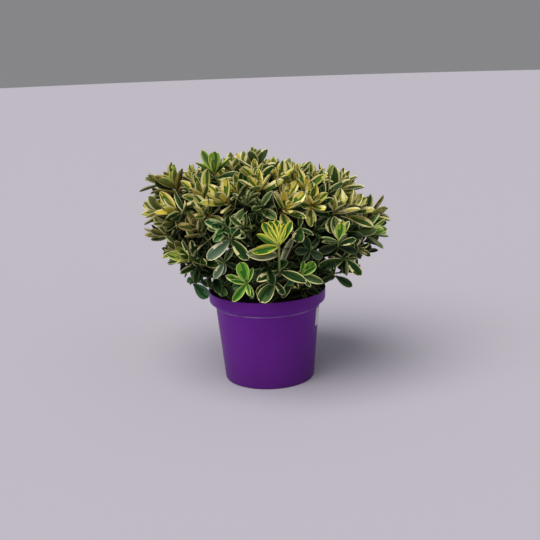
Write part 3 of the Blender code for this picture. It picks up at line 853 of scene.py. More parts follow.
def too_low(point, margin=0.0, hangs=False):
    """Whether a point is in the compost, in the pot's rim or under the crown's skirt."""
    out = math.hypot(point.x, point.y)
    if out < MOUTH_RADIUS:
        return point.z < COMPOST_HEIGHT + POT_MARGIN + margin
    if hangs and out > RIM_RADIUS + POT_MARGIN:
        return False
    # The skirt rises outwards from the rim, more at the two sides, and most at the left.
    aside = point.x / out
    rise = SKIRT_RISE[0] + (SKIRT_RISE[1] - SKIRT_RISE[0]) * aside**2 + LEFT_RISE * max(0.0, -aside)
    skirt = rise * max(0.0, (out - RIM_RADIUS - POT_MARGIN) / SKIRT_WIDTH) ** SKIRT_CURVE
    return point.z < POT_HEIGHT + POT_MARGIN + skirt + margin


def ruled_shoots(masses):
    """The stem and side twigs that the frame's rule gives each mass."""
    shoots = []
    for mass in masses:
        ring = mass.ring
        start = curve_point(mass.curve, STEM_STARTS_AT)
        leaving = (curve_point(mass.curve, STEM_STARTS_AT + 0.02) - start).normalized()
        shoots.append(Shoot(mass, start, leaving, mass.curve[3], outward(mass.azimuth, ring.tip_polar)))
        for i in range(ring.twigs):
            around = mass.turn + 360 * i / ring.twigs
            azimuth, polar = spread_from(mass.azimuth, ring.polar, ring.spread, around)
            tip_polar = abs(ring.tip_polar + (polar - ring.polar) * TWIG_LEAN)
            reach = mass.reach * (TWIG_REACH - TWIG_REACH_LOSS * i)
            end, pointing = shoot_end(azimuth, polar, tip_polar, reach)
            start = curve_point(mass.curve, FIRST_TWIG_AT + TWIG_EVERY * i)
            onward = (mass.curve[3] - start).normalized()
            leaving = onward.lerp((end - start).normalized(), TWIG_TURNS_OUT).normalized()
            shoots.append(Shoot(mass, start, leaving, end, pointing))
    return shoots


def new_twig(shoots, end, pointing, **look):
    """A finer twig to a place, from the nearest mass's shoots, about a twig's length away."""
    mass = min(masses, key=lambda one: (one.space_point - end).length)
    spots = []
    for shoot in shoots:
        if shoot.mass is mass and not shoot.first_pair:
            spots += line_along(shoot.curve(), 0.0, FORKS_UP_TO, 6)
    start = min(spots, key=lambda spot: abs((spot - end).length - FINE_TWIG_LENGTH))
    straight = (end - start).normalized()
    leaving = straight.lerp(pointing, FINE_TWIG_BEND).normalized()
    return Shoot(mass, start, leaving, end, pointing, **look)


def aim_rosettes(shoots):
    """Bends the nearest free shoot to each listed rosette, or grows a new one."""
    for rosette in (Rosette(*row) for row in ROSETTES):
        lean = rule_tip_polar(rosette.polar) if rosette.lean is None else rosette.lean
        pointing = outward(rosette.azimuth, lean)
        centre = dome_point(rosette.azimuth, rosette.polar, rosette.reach)
        end = centre - pointing * ROSETTE_HEAD
        free = [shoot for shoot in shoots if not shoot.taken]
        shoot = min(free, key=lambda one: (one.end - end).length)
        if (shoot.end - end).length > NEAREST_SHOOT:
            shoot = new_twig(shoots, end, pointing)
            shoots.append(shoot)
        shoot.end, shoot.pointing, shoot.taken = end, pointing, True
        shoot.look, shoot.size, shoot.hangs = rosette.look, rosette.size, rosette.hangs


def fill_crown(shoots, chance, share, spacing, lowest_polar, **look):
    """Throws darts at the dome, or at a smaller one in it, and grows a twig to each clear one."""
    layer = share - LEAVES_SHARE
    ends = [shoot.end for shoot in shoots if abs(dome_share(shoot.end) - layer) < LAYER_DEPTH]
    if share == OUTER_SHARE:
        ends += [shoot.end - shoot.pointing * STEM_SHOWS for shoot in shoots if shoot.taken]
    lowest = math.cos(math.radians(lowest_polar))
    grown_now = []
    for _ in range(DARTS):
        azimuth = chance.uniform(-180, 180)
        polar = math.degrees(math.acos(chance.uniform(lowest, 1)))
        reach = share * chance.uniform(*DART_REACH) * evenness(azimuth, polar)
        end, pointing = shoot_end(azimuth, polar, rule_tip_polar(polar), reach)
        clear = spacing + WIDER_BY * clamped((polar - WIDER_FROM) / WIDER_WITHIN)
        if too_low(end, DART_MARGIN) or any((end - other).length < clear for other in ends):
            continue
        ends.append(end)
        grown_now.append(new_twig(shoots, end, pointing, **look))
    shoots += grown_now
    return len(grown_now)


shoots = ruled_shoots(masses)
aim_rosettes(shoots)
aimed = len(shoots)
filled = fill_crown(shoots, random.Random(FILL_SEED), OUTER_SHARE, SPACING, LOWEST_POLAR)
inner = 0
for share, spacing in INNER_LAYERS:
    chance = random.Random(INNER_SEED)
    inner += fill_crown(shoots, chance, share, spacing, INNER_LOWEST_POLAR, look="shade", first_pair=2)
print("shoots:", aimed, "aimed or ruled,", filled, "filled in and", inner, "inside")

# %% [markdown]
# ## What the leaves are made of
# A hebe's leaf is leathery, with a thin wax on top that gives a broad soft shine and a duller,
# paler underside. Where the plant is variegated, the edge has lost its green, a band inside it
# is half green, and only the middle, the blade, is full green. Each zone is a plain colour on
# its own faces, so the pattern keeps its place in any program. Young leaves are the yellow
# ones, with an orange cast at the foot, and they grow greener and darker with age. The deep
# and shade looks are darker still, as painted shade for leaves low in the crown and inside it.

# %% Mix the colours of the leaves
ZONES = ("edge", "band", "blade", "back", "foot")
LOOKS = {
    "gold": ("#F4EBA2", "#D8C450", "#4E7028", "#6E7C40", "#D89E3C"),
    "straw": ("#EEE6A8", "#B4B052", "#3E5E26", "#667240", "#BC9E42"),
    "lime": ("#CCCC70", "#849640", "#2E521A", "#74863C", "#7E8A3C"),
    "peak": ("#B6BE5E", "#64822E", "#2A4A16", "#46561F", "#6E7C30"),
    "leader": ("#D2C850", "#7C9838", "#2A5E1A", "#8E9468", "#A0A444"),
    "fresh": ("#BCC870", "#5E8E2C", "#2C5E18", "#729442", "#6C9236"),
    "grey": ("#BCC086", "#586A3C", "#2A401C", "#5E6C3E", "#505E2C"),
    "mature": ("#DAD498", "#34521E", "#15340E", "#4C6234", "#3C5022"),
    # The deep look is the oldest leaves, darkened further as painted shade: a dim margin and a
    # near-black blade.
    "deep": ("#626C42", "#1C3214", "#0B1E08", "#2C3E1E", "#1C2C10"),
    "olive": ("#C4BC82", "#7C7E3C", "#344A20", "#5A6034", "#76682E"),
    # The round look's paler blue-green band is a painted sheen on a dark green leaf.
    "round": ("#5E7848", "#46694A", "#1E4A24", "#4A6644", "#284822"),
    "fern": ("#B4C088", "#4A7238", "#225028", "#4C6A40", "#44682E"),
    "rusty": ("#AC9A5C", "#5C5A2C", "#38441E", "#5E5A36", "#74562A"),
    # The glaucous look's blue-grey is partly a waxy bloom and partly a painted sheen of the pale studio.
    "glaucous": ("#D2D0AC", "#5C7054", "#425A46", "#68785C", "#5A6A48"),
    "dun": ("#D0CAA6", "#7E8560", "#5E6A48", "#7A7C5C", "#6C6C48"),
    "bronze": ("#ACA050", "#6E5A2A", "#3C421A", "#5E5630", "#6E5028"),
    # The shade look is painted shade: near-black leaves for the inside of the crown.
    "shade": ("#30381E", "#121A0A", "#080E05", "#161E0C", "#0F1508"),
}
# What a rosette's look turns into with age: its tip leaves, the next ones and the oldest. Two
# rosettes have leaves apart, in further looks.
AGES = {look: (look, look, "mature") for look in ("straw", "peak", "fern", "rusty")}
AGES.update((look, (look, look, "deep")) for look in ("grey", "mature", "deep", "olive", "round"))
AGES.update(
    gold=("gold", "straw", "mature"),
    lime=("lime", "mature", "mature"),
    fresh=("fresh", "fresh", "round"),
    glaucous=("glaucous", "mature", "deep"),
    bronze=("lime", "bronze", "mature"),
    shade=("deep", "shade", "shade"),
    leader=("leader", "leader", "mature", "dun"),
    cup=("straw", "grey", "mature", "leader", "deep"),
    hung=("grey", "mature", "deep"),
    glossy=("fresh", "fern", "mature"),
    oval=("mature", "mature", "deep"),
    disc=("mature", "mature", "mature"),
    sprig=("fresh", "grey", "round"),
    hollow=("fern", "deep", "deep"),
    tail=("deep", "deep", "deep"),
    spear=("grey", "deep", "deep"),
    drop=("glaucous", "grey", "deep"),
    coin=("fern", "round", "deep"),
)
WAXY, DULL = 0.42, 0.65
LEAF_SHINE = 0.13
look_numbers = {look: number for number, look in enumerate(LOOKS)}
leaf_tissues = []
for look, colours in LOOKS.items():
    for zone, colour in zip(ZONES, colours):
        name = f"leaf_{look}_{zone}"
        roughness = DULL if zone == "back" else WAXY
        leaf_tissues.append(new_material(name, colour, roughness, Specular_IOR_Level=LEAF_SHINE))
print("leaf tissues:", len(leaf_tissues))

# %% [markdown]
# ## Leaf forms
# A leaf is a closed thin solid of 71 faces: seven spans from root to tip, six strips across
# its top and four across its underside. It is widest at the middle and has a short point.
# Young leaves are folded like a keel and stand like a cup, older ones are flatter and curl
# back. The pale margin is uneven, and some strips have a streak of the next zone's colour for
# a few spans. A few forms of each age are enough once every copy has its own turn and size.

# %% Model the leaf forms
LEAF_ROWS = (0.0, 0.11, 0.26, 0.43, 0.61, 0.78, 0.91)
STALK_HALF_WIDTH = 0.24
THICKNESS = 0.014
RIB_GROOVE = 0.014
# Blunt below 0.5 makes a round tip. Fold lifts the sides, belly bows the leaf out in the
# middle, bend lifts its tip, and twist turns the tip by degrees.
LeafForm = namedtuple("LeafForm", "name width blunt margin fold belly bend twist")
LEAF_FORMS = (
    ("bud_a", 0.38, 0.76, 0.26, 0.72, 0.05, 0.06, 0),
    ("bud_b", 0.40, 0.68, 0.22, 0.62, 0.07, 0.03, 6),
    ("young_a", 0.42, 0.70, 0.22, 0.60, 0.07, 0.03, -5),
    ("young_b", 0.45, 0.62, 0.20, 0.50, 0.05, 0.00, 8),
    ("young_c", 0.39, 0.76, 0.25, 0.66, 0.06, 0.02, 0),
    ("spread_a", 0.41, 0.66, 0.20, 0.46, 0.03, -0.06, 10),
    ("spread_b", 0.38, 0.72, 0.17, 0.52, 0.02, -0.10, -12),
    ("full_a", 0.41, 0.62, 0.13, 0.32, 0.01, -0.10, 5),
    ("full_b", 0.36, 0.68, 0.15, 0.40, 0.00, -0.18, -14),
    ("full_c", 0.41, 0.58, 0.11, 0.26, 0.02, -0.05, 16),
    ("old_a", 0.41, 0.60, 0.11, 0.20, 0.00, -0.24, -18),
    ("old_b", 0.38, 0.64, 0.10, 0.26, 0.00, -0.16, 22),
    ("round_a", 0.84, 0.42, 0.09, 0.10, 0.02, -0.10, 8),
    ("round_b", 0.80, 0.46, 0.10, 0.14, 0.00, -0.06, -10),
    ("oval_a", 0.57, 0.50, 0.11, 0.24, 0.02, -0.06, 4),
    ("slim_a", 0.34, 0.62, 0.24, 0.46, 0.03, 0.04, 0),
    ("slim_b", 0.31, 0.66, 0.19, 0.50, 0.02, -0.05, 8),
    ("fan_a", 0.37, 0.48, 0.27, 0.44, 0.05, 0.05, 4),
    ("fan_b", 0.33, 0.52, 0.24, 0.50, 0.06, 0.08, -6),
)
BUDS, YOUNG, SPREAD, FULL, OLD, ROUND = (0, 1), (2, 3, 4), (5, 6), (7, 8, 9), (10, 11), (12, 13)
OVAL, SLIM, FAN = (14,), (15, 16), (17, 18)
EDGE, BAND, BLADE, BACK, FOOT = range(len(ZONES))
STRIP_ZONES = (EDGE, BAND, BLADE, BLADE, BAND, EDGE)
# A row has 7 points across the leaf's top and 3 more below. Each strip lies between two.
ROW_POINTS = 10
STRIPS = ((0, 1), (1, 2), (2, 3), (3, 4), (4, 5), (5, 6), (7, 0), (8, 7), (9, 8), (6, 9))
ROOT_FACE = (0, 1, 2, 3, 4, 5, 6, 9, 8, 7)
VARIEGATED_MARGIN = 0.195
# How often a strip has a streak in a variegated leaf and in a greener one, how often the streak
# is paler than its strip, and how often the back has one.
STREAKY, LESS_STREAKY = 0.75, 0.30
PALER_STREAKS = 0.6
BACK_STREAKS = 0.7
# The pale margin is wider on one side of a leaf, and wanders from span to span.
UNEVEN_MARGIN = (0.72, 1.40)
MARGIN_JITTER = (0.75, 1.30)
BLADE_SHARE = (0.46, 0.66)
BLADE_JITTER = (0.8, 1.2)
WIDENING = 0.9
FOLD_CURVE = 1.5


def half_width(u, blunt):
    """The leaf's half width at a share of its length, 1 at its widest."""
    widest = WIDENING / (WIDENING + blunt)
    full = widest**WIDENING * (1 - widest) ** blunt
    return max(STALK_HALF_WIDTH, u**WIDENING * (1 - u) ** blunt / full)


def strip_runs(form, chance):
    """Each upper strip's zones from root to tip. A streak keeps to its strip for a few spans."""
    spans = len(LEAF_ROWS)
    streaky = STREAKY if form.margin > VARIEGATED_MARGIN else LESS_STREAKY
    runs = []
    for zone in STRIP_ZONES:
        run = [FOOT] + [zone] * (spans - 2) + [BLADE if zone == BLADE else EDGE]
        if zone and chance.random() < streaky:
            start = chance.randrange(1, spans - 1)
            paler = chance.random() < PALER_STREAKS
            for row in range(start, min(spans, start + chance.choice((2, 3)))):
                run[row] = zone - 1 if paler else BLADE
        runs.append(run)
    return runs


def back_runs(form, chance):
    """The four strips of the underside: a pale edge, and a streak in some variegated leaves."""
    runs = [[zone] * len(LEAF_ROWS) for zone in (EDGE, BACK, BACK, EDGE)]
    if form.margin > VARIEGATED_MARGIN and chance.random() < BACK_STREAKS:
        start, side = chance.randrange(0, 3), chance.choice((1, 2))
        runs[side][start : start + 4] = [BAND] * 4
    return runs


def model_leaf(form, chance):
    """Points, faces, each face's zone and the points on the leaf's margin, for a leaf 1 long."""
    points, faces, zones = [], [], []
    runs = strip_runs(form, chance) + back_runs(form, chance)
    core_share = chance.uniform(*BLADE_SHARE)
    uneven = chance.uniform(*UNEVEN_MARGIN)
    for u in LEAF_ROWS:
        wide = half_width(u, form.blunt) * form.width / 2
        left = 1 - form.margin * uneven * chance.uniform(*MARGIN_JITTER)
        right = 1 - form.margin / uneven * chance.uniform(*MARGIN_JITTER)
        left_core = left * core_share * chance.uniform(*BLADE_JITTER)
        right_core = right * core_share * chance.uniform(*BLADE_JITTER)
        turn = math.radians(form.twist) * u
        middle = form.bend * u * u - form.belly * math.sin(math.pi * u)
        upper = [(v, 0) for v in (-1, -left, -left_core, 0, right_core, right, 1)]
        for v, depth in upper + [(v, THICKNESS) for v in (-left, 0, right)]:
            # The rib's groove takes up the middle third.
            groove = RIB_GROOVE * max(0.0, 1 - abs(v) * 3)
            y = v * wide
            z = form.fold * abs(v) ** FOLD_CURVE * wide - groove - depth
            y, z = y * math.cos(turn) - z * math.sin(turn), y * math.sin(turn) + z * math.cos(turn)
            points.append((u, y, z + middle))
    tip = len(points)
    points.append((1.0, 0.0, form.bend))
    for row in range(len(LEAF_ROWS)):
        here, there = ROW_POINTS * row, ROW_POINTS * (row + 1)
        for (a, b), run in zip(STRIPS, runs):
            if there == tip:
                faces.append((here + a, tip, here + b))
            else:
                faces.append((here + a, there + a, there + b, here + b))
            zones.append(run[row])
    faces.append(ROOT_FACE)
    zones.append(FOOT)
    margin = {ROW_POINTS * row + side for row in range(len(LEAF_ROWS)) for side in (0, 6)}
    return points, faces, zones, margin | {tip}


def make_leaf_forms(chance):
    """A collection with one object for each form. Faces keep their zone as an attribute."""
    forms = bpy.data.collections.new("leaf_forms")
    for number, form in enumerate(LeafForm(*row) for row in LEAF_FORMS):
        points, faces, zones, margin = model_leaf(form, chance)
        mesh = bpy.data.meshes.new(f"leaf_{number:02d}_{form.name}")
        mesh.from_pydata(points, [], faces)
        add_attribute(mesh, "zone", "INT", zones, "FACE")
        mesh.shade_smooth()
        for side in mesh.edges:
            side.use_edge_sharp = side.vertices[0] in margin and side.vertices[1] in margin
        forms.objects.link(bpy.data.objects.new(mesh.name, mesh))
    return forms


leaf_forms = make_leaf_forms(random.Random(11))

# %% [markdown]
# ## Leaves on a shoot
# Hebe leaves stand in opposite pairs, each pair a quarter turn round the shoot from the last.
# At the tip the pairs are close and upright and form a cup. Further down they open out, hang a
# little, and stand further apart. Rosettes in the shade are more open than those in the light.
# The rosettes that show best at the front have their leaves set one by one instead, by the way
# that each points in the picture.

# %% List the pairs of leaves and the leaves set by eye
# Each pair stands some way below the tip, at a pitch off the shoot, with a length and forms.
Pair = namedtuple("Pair", "below_tip pitch length forms")
CUPPED = (
    (0.000, 8, 0.50, BUDS),
    (0.001, 17, 0.72, BUDS + YOUNG),
    (0.003, 26, 0.88, YOUNG),
    (0.006, 36, 1.00, YOUNG),
    (0.010, 47, 1.06, YOUNG),
    (0.017, 60, 1.08, YOUNG + SPREAD),
    (0.027, 73, 1.08, SPREAD + FULL),
    (0.041, 86, 1.02, FULL + OLD),
)
OPEN = (
    (0.000, 12, 0.42, BUDS),
    (0.002, 30, 0.68, YOUNG + SPREAD),
    (0.007, 50, 0.94, SPREAD + FULL),
    (0.014, 64, 1.10, FULL),
    (0.026, 77, 1.12, FULL),
    (0.042, 88, 1.04, FULL + OLD),
    (0.060, 96, 0.98, OLD),
)
NARROW = (
    (0.000, 6, 0.50, BUDS),
    (0.002, 16, 0.76, SLIM),
    (0.006, 28, 0.94, SLIM),
    (0.012, 41, 1.00, SLIM),
    (0.020, 55, 1.00, SLIM + SPREAD),
    (0.032, 69, 0.96, SPREAD + FULL),
    (0.048, 83, 0.92, FULL + OLD),
)
HABITS = {"olive": NARROW, **dict.fromkeys(("grey", "mature", "deep", "shade"), OPEN)}
# Leaves set one by one, as the camera sees them. Clock is the way the leaf points in the picture,
# with 0 to the left and 90 up. Nearer tips it towards the camera, and shows turns its face to
# the camera, or its back where it is below 0.
Drawn = namedtuple("Drawn", "below_tip clock nearer length forms shows age")
DRAWN = {
    "leader": (
        (0.000, 52, -2, 0.98, FAN, 0.8, 0),
        (0.000, 67, -8, 0.92, FAN, 0.8, 0),
        (0.001, 82, -12, 0.94, FAN, 0.8, 0),
        (0.001, 98, -12, 0.82, FAN, 0.6, 0),
        (0.002, 107, -4, 0.80, FAN, 0.3, 1),
        (0.002, 120, 4, 1.00, FAN, 0.5, 0),
        (0.006, 30, -10, 0.96, YOUNG, 0.3, 1),
        (0.004, 347, 8, 1.02, YOUNG, 0.85, 0),
        (0.020, 2, 5, 1.20, YOUNG, 0.85, 3),
        (0.057, 110, -5, 1.40, SLIM, -0.42, 3),
        (0.056, 338, 10, 0.92, SPREAD, 0.5, 2),
        (0.056, 201, 10, 1.08, SPREAD, 0.6, 2),
    ),
    "fresh": (
        (0.000, 90, 60, 0.40, BUDS, 0.0, 0),
        (0.001, 73, 10, 0.82, OVAL, 0.8, 0),
        (0.002, 112, 15, 0.62, SPREAD, 0.6, 0),
        (0.003, 20, 5, 0.84, SLIM, 0.6, 0),
        (0.003, 10, 20, 0.62, SLIM, 0.5, 0),
        (0.004, 309, 10, 0.86, FULL, 0.9, 1),
        (0.003, 258, 25, 0.50, SPREAD, 0.6, 0),
        (0.004, 246, 10, 0.56, SPREAD, 0.3, 0),
        (0.008, 140, -5, 0.74, FULL, 0.8, 2),
        (0.010, 342, 0, 0.62, OVAL, 0.8, 2),
        (0.012, 260, -10, 0.66, FULL, 0.6, 2),
    ),
    "sprig": (
        (0.000, 133, 10, 0.56, OVAL, 0.5, 0),
        (0.000, 97, 10, 0.46, SPREAD, 0.5, 0),
        (0.001, 150, 20, 0.54, SPREAD, 0.2, 0),
        (0.002, 7, 15, 0.48, SPREAD, 0.4, 0),
        (0.003, 200, 15, 0.72, SPREAD, 0.7, 1),
        (0.004, 231, 10, 0.48, SLIM, 0.2, 1),
        (0.006, 320, 0, 0.52, FULL, 0.6, 2),
    ),
    "hollow": (
        (0.000, 80, 60, 0.36, BUDS, 0.0, 0),
        (0.002, 63, 15, 0.58, OVAL, 0.8, 1),
        (0.003, 356, 15, 0.58, OVAL, 0.8, 1),
        (0.004, 300, 30, 0.52, FULL, 0.5, 1),
        (0.004, 215, 20, 0.56, OVAL, 0.5, 1),
        (0.006, 130, 0, 0.64, FULL, 0.7, 2),
    ),
    "cup": (
        (0.000, 79, -5, 0.92, YOUNG, 0.5, 1),
        (0.000, 90, -15, 0.86, YOUNG, 0.8, 0),
        (0.000, 98, 15, 0.66, OVAL, 0.5, 3),
        (0.001, 102, 0, 0.80, YOUNG, 0.0, 0),
        (0.001, 117, -5, 0.86, SLIM, 0.0, 0),
        (0.003, 136, 30, 0.48, YOUNG, -0.5, 1),
        (0.006, 112, -10, 0.88, SLIM, 0.0, 1),
        (0.003, 15, 5, 0.68, SLIM, 0.3, 1),
        (0.005, 1, 10, 0.64, SLIM, 0.2, 1),
        (0.010, 160, 0, 0.70, FULL, 0.4, 2),
        (0.030, 340, 0, 0.80, FULL, 0.5, 4),
        (0.030, 200, 0, 0.80, FULL, 0.5, 4),
    ),
    "hung": (
        (0.000, 170, 0, 0.40, BUDS, 0.0, 0),
        (0.001, 226, 0, 0.84, FULL, 0.9, 1),
        (0.002, 267, -10, 0.64, OVAL, -0.5, 0),
        (0.006, 341, 0, 1.06, FULL, 0.5, 1),
        (0.008, 24, 0, 0.72, SLIM, 0.1, 1),
        (0.010, 127, 0, 0.76, FULL, 0.3, 1),
        (0.004, 208, -15, 0.50, FULL, 0.6, 2),
    ),
    "spear": (
        (0.000, 322, 0, 0.76, SLIM, 0.2, 0),
        (0.002, 345, 0, 0.60, SLIM, 0.3, 0),
        (0.003, 80, 10, 0.60, SLIM, 0.4, 0),
        (0.004, 40, 10, 0.60, FULL, 0.5, 1),
        (0.006, 130, 10, 0.60, FULL, 0.5, 1),
        (0.008, 230, 10, 0.64, FULL, 0.5, 1),
    ),
    "tail": (
        (0.000, 212, 0, 0.76, FULL, 0.8, 0),
        (0.005, 330, 0, 0.60, FULL, 0.5, 1),
        (0.006, 90, 0, 0.60, FULL, 0.5, 1),
    ),
    "oval": (
        (0.001, 306, 10, 0.92, OVAL, 0.9, 1),
        (0.006, 320, 0, 0.84, OVAL, 0.8, 1),
        (0.006, 232, 0, 0.62, FULL, 0.5, 1),
        (0.004, 30, 10, 0.60, FULL, 0.4, 1),
        (0.014, 150, 0, 0.76, FULL, 0.5, 2),
    ),
    "glaucous": (
        (0.000, 90, 50, 0.40, BUDS, 0.0, 1),
        (0.001, 319, 5, 1.14, FULL, 0.95, 0),
        (0.002, 140, 0, 0.70, FULL, 0.7, 1),
        (0.003, 50, 10, 0.62, FULL, 0.5, 1),
        (0.003, 229, 5, 1.00, FULL, 0.8, 1),
    ),
    "drop": (
        (0.000, 300, 5, 0.70, FULL, 0.9, 0),
        (0.006, 285, 0, 0.50, OVAL, 0.9, 0),
        (0.002, 120, 5, 0.62, FULL, 0.6, 1),
        (0.004, 30, 5, 0.62, FULL, 0.6, 1),
        (0.006, 210, 5, 0.60, FULL, 0.5, 2),
    ),
    "coin": (
        (0.000, 262, 10, 0.40, ROUND, 1.0, 0),
        (0.008, 20, 5, 0.42, ROUND, 0.8, 1),
        (0.010, 140, 5, 0.44, OVAL, 0.6, 1),
    ),
    "round": (
        (0.000, 225, 0, 0.80, OVAL, 1.0, 0),
        (0.003, 88, 0, 0.66, OVAL, 0.7, 0),
        (0.002, 30, 0, 0.34, ROUND, 0.5, 1),
        (0.014, 186, 5, 0.44, ROUND, 0.9, 0),
        (0.010, 100, 0, 0.40, ROUND, 0.6, 1),
        (0.020, 60, 0, 0.50, OVAL, 0.6, 1),
    ),
    "disc": (
        (0.001, 287, 0, 0.56, ROUND, 1.0, 1),
        (0.010, 100, 10, 0.50, FULL, 0.0, 2),
        (0.012, 200, 10, 0.60, FULL, 0.3, 2),
    ),
    "peak": (
        (0.000, 80, 30, 0.50, BUDS, 0.0, 0),
        (0.001, 61, 0, 1.04, FULL, 0.8, 0),
        (0.002, 90, 5, 0.84, OVAL, 0.6, 0),
        (0.003, 118, 10, 0.66, YOUNG, 0.0, 0),
        (0.004, 33, 0, 0.88, SLIM, 0.2, 1),
        (0.004, 135, 0, 0.90, SLIM, 0.2, 1),
        (0.012, 14, 0, 0.92, FULL, 0.3, 2),
        (0.012, 166, 0, 0.92, FULL, 0.3, 2),
        (0.024, 50, 0, 0.90, FULL, 0.3, 2),
        (0.024, 200, 20, 0.80, FULL, 0.3, 2),
    ),
}
print("leaves set by eye:", sum(len(rows) for rows in DRAWN.values()), "in", len(DRAWN), "looks")

# %% [markdown]
# ## Every leaf's place
# A leaf's root lies on its shoot, a way below the tip. Its blade has three directions: along
# it, across it and up out of its face. Ruled leaves turn up to the light, and drawn ones to
# the side that the camera sees. A leaf that would cut into the pot or the compost, or hang
# below the crown's skirt, is left off.

# %% Work out every leaf
LEAF_LENGTH = 0.0475
UPRIGHT_PITCH, OPEN_PITCH = 44, 66
ANGLE_SCATTER = 7
ROLL_SCATTER = 13
OLDER_CHANCE = 0.15
LIFT_TO_LIGHT = 0.30
DROOP = 0.03
DROOPS_FROM, DROOPS_PER = 20, 12
STEEPEST = -0.82
BARE_FOOT = 0.006
FURTHEST_OUT = 1.10
KEPT_IN = 0.82
SIZE_JITTER = (0.86, 1.10)
SLIM_JITTER = (0.90, 1.06)
FILLED_SIZE = (0.80, 0.98)
SHOOT_POINTS = 14
PROBES = (0.3, 0.6, 0.8, 1.0)
# Shoots high on the crown have full light, and those from one polar angle on have none. The
# looks in the light have a share each, added to those before.
DARK_FROM, DARKENS_OVER = 95, 35
LIT_LOOKS = (("gold", 0.42), ("straw", 0.66), ("lime", 0.80))
MATURE_IN_SHADE, MATURE_BY_LIGHT = 0.15, 0.5
Spoke = namedtuple("Spoke", "below_tip turn pitch length forms roll age")
Leaf = namedtuple("Leaf", "root turn scale form look")


def point_back(line, distance):
    """The point at a distance back from a line's end, and the way the line runs there."""
    for a, b in zip(reversed(line[:-1]), reversed(line)):
        span = (b - a).length
        if distance <= span:
            break
        distance -= span
    ahead = (b - a).normalized()
    return b - ahead * min(distance, span), ahead


def blade_axes(along, face):
    """Along the leaf, across it, and up out of its face."""
    along = along.normalized()
    up = (face - along * face.dot(along)).normalized()
    return along, up.cross(along), up


def ruled_spokes(shoot, chance):
    """Crossed pairs of leaves, which get older as they open out."""
    pairs = [Pair(*row) for row in HABITS.get(shoot.look, CUPPED)][shoot.first_pair :]
    first_turn = chance.uniform(0, 180)
    for place, pair in enumerate(pairs):
        below = pair.below_tip - pairs[0].below_tip
        for side in (0, 180):
            turn = first_turn + 90 * place + side + chance.gauss(0, ANGLE_SCATTER)
            pitch = pair.pitch + chance.gauss(0, ANGLE_SCATTER)
            age = (pair.pitch > UPRIGHT_PITCH) + (pair.pitch > OPEN_PITCH)
            if chance.random() < OLDER_CHANCE:
                age = min(2, age + 1)
            roll = chance.gauss(0, ROLL_SCATTER)
            yield Spoke(below, turn, pitch, pair.length, pair.forms, roll, age)


def ruled_axes(spoke, ahead):
    """A leaf's axes from its turn round the shoot and its pitch off it. Old leaves droop."""
    level = ahead.cross(Vector((0, 0, 1)))
    if level.length < 0.05:
        level = ahead.cross(Vector((1, 0, 0)))
    level.normalize()
    turn, pitch = math.radians(spoke.turn), math.radians(spoke.pitch)
    way = level * math.cos(turn) + level.cross(ahead) * math.sin(turn)
    droop = DROOP * max(0.0, spoke.pitch - DROOPS_FROM) / DROOPS_PER
    along = ahead * math.cos(pitch) + way * math.sin(pitch) - Vector((0, 0, droop))
    up = ahead * math.sin(pitch) - way * math.cos(pitch) + Vector((0, 0, LIFT_TO_LIGHT))
    axes = blade_axes(along, up)
    roll = Matrix.Rotation(math.radians(spoke.roll), 3, axes[0])
    return tuple(roll @ axis for axis in axes)


def drawn_axes(leaf, ahead):
    """A leaf's axes from the way that it points, and the side that it shows, in the picture."""
    right, above, viewer = (camera.matrix_world.to_3x3().col[i] for i in range(3))
    clock, nearer = math.radians(leaf.clock), math.radians(leaf.nearer)
    flat = above * math.sin(clock) - right * math.cos(clock)
    along = flat * math.cos(nearer) + viewer * math.sin(nearer)
    return blade_axes(along, ahead * (1 - abs(leaf.shows)) + viewer * leaf.shows)


def leaves_of(shoot, chance):
    """Every leaf of a shoot."""
    line = line_along(shoot.curve(), 0, 1, SHOOT_POINTS)
    length = length_of(line)
    by_eye = shoot.look in DRAWN
    spokes = (Drawn(*row) for row in DRAWN[shoot.look]) if by_eye else ruled_spokes(shoot, chance)
    leaves = []
    for spoke in spokes:
        if spoke.below_tip * shoot.size > length - BARE_FOOT:
            continue
        root, ahead = point_back(line, spoke.below_tip * shoot.size)
        axes = (drawn_axes if by_eye else ruled_axes)(spoke, ahead)
        along = axes[0]
        if along.z < STEEPEST and not by_eye:
            continue
        size = LEAF_LENGTH * spoke.length * shoot.size
        if not by_eye:
            size *= chance.uniform(*SIZE_JITTER)
        slim = chance.uniform(*SLIM_JITTER)
        form = chance.choice(spoke.forms)
        look = look_numbers[AGES[shoot.look][spoke.age]]
        if dome_share(root + along * size) > FURTHEST_OUT and not by_eye:
            size *= KEPT_IN
        places = (root + along * size * share for share in PROBES)
        if any(too_low(place, hangs=shoot.hangs) for place in places):
            continue
        turn = Matrix(axes).transposed().to_euler()
        leaves.append(Leaf(root, turn, (size, size * slim, size), form, look))
    return leaves


def choose_look(shoot, chance):
    """Rosettes high in the light are yellow. Low ones are green, and the lower they are, the
    more often they take the deep look, which is darkened as painted shade.
    """
    light = clamped((DARK_FROM - direction_of(shoot.end)[1]) / DARKENS_OVER)
    roll = chance.random()
    for look, share in LIT_LOOKS:
        if roll < share * light:
            return look
    return "mature" if chance.random() < MATURE_IN_SHADE + MATURE_BY_LIGHT * light else "deep"


leaves_by_mass = {mass.name: [] for mass in masses}
leaf_chance = random.Random(SEED + 1)
for shoot in shoots:
    if shoot.look is None:
        shoot.look = choose_look(shoot, leaf_chance)
        shoot.size = leaf_chance.uniform(*FILLED_SIZE)
    leaves_by_mass[shoot.mass.name] += leaves_of(shoot, leaf_chance)
print("leaves:", sum(len(leaves) for leaves in leaves_by_mass.values()))

# %% [markdown]
# ## A tree that hangs the leaves
# Geometry nodes put a copy of the right form on every leaf's root. The points carry the turn,
# the size, the form and the look. Once the copies are real faces, a leaf's look and a face's
# zone together say which tissue the face gets.

# %% Hang the leaves, one piece for each mass


def named(tree, name, data_type):
    return add_node(tree, "GeometryNodeInputNamedAttribute", {0: name}, data_type=data_type)


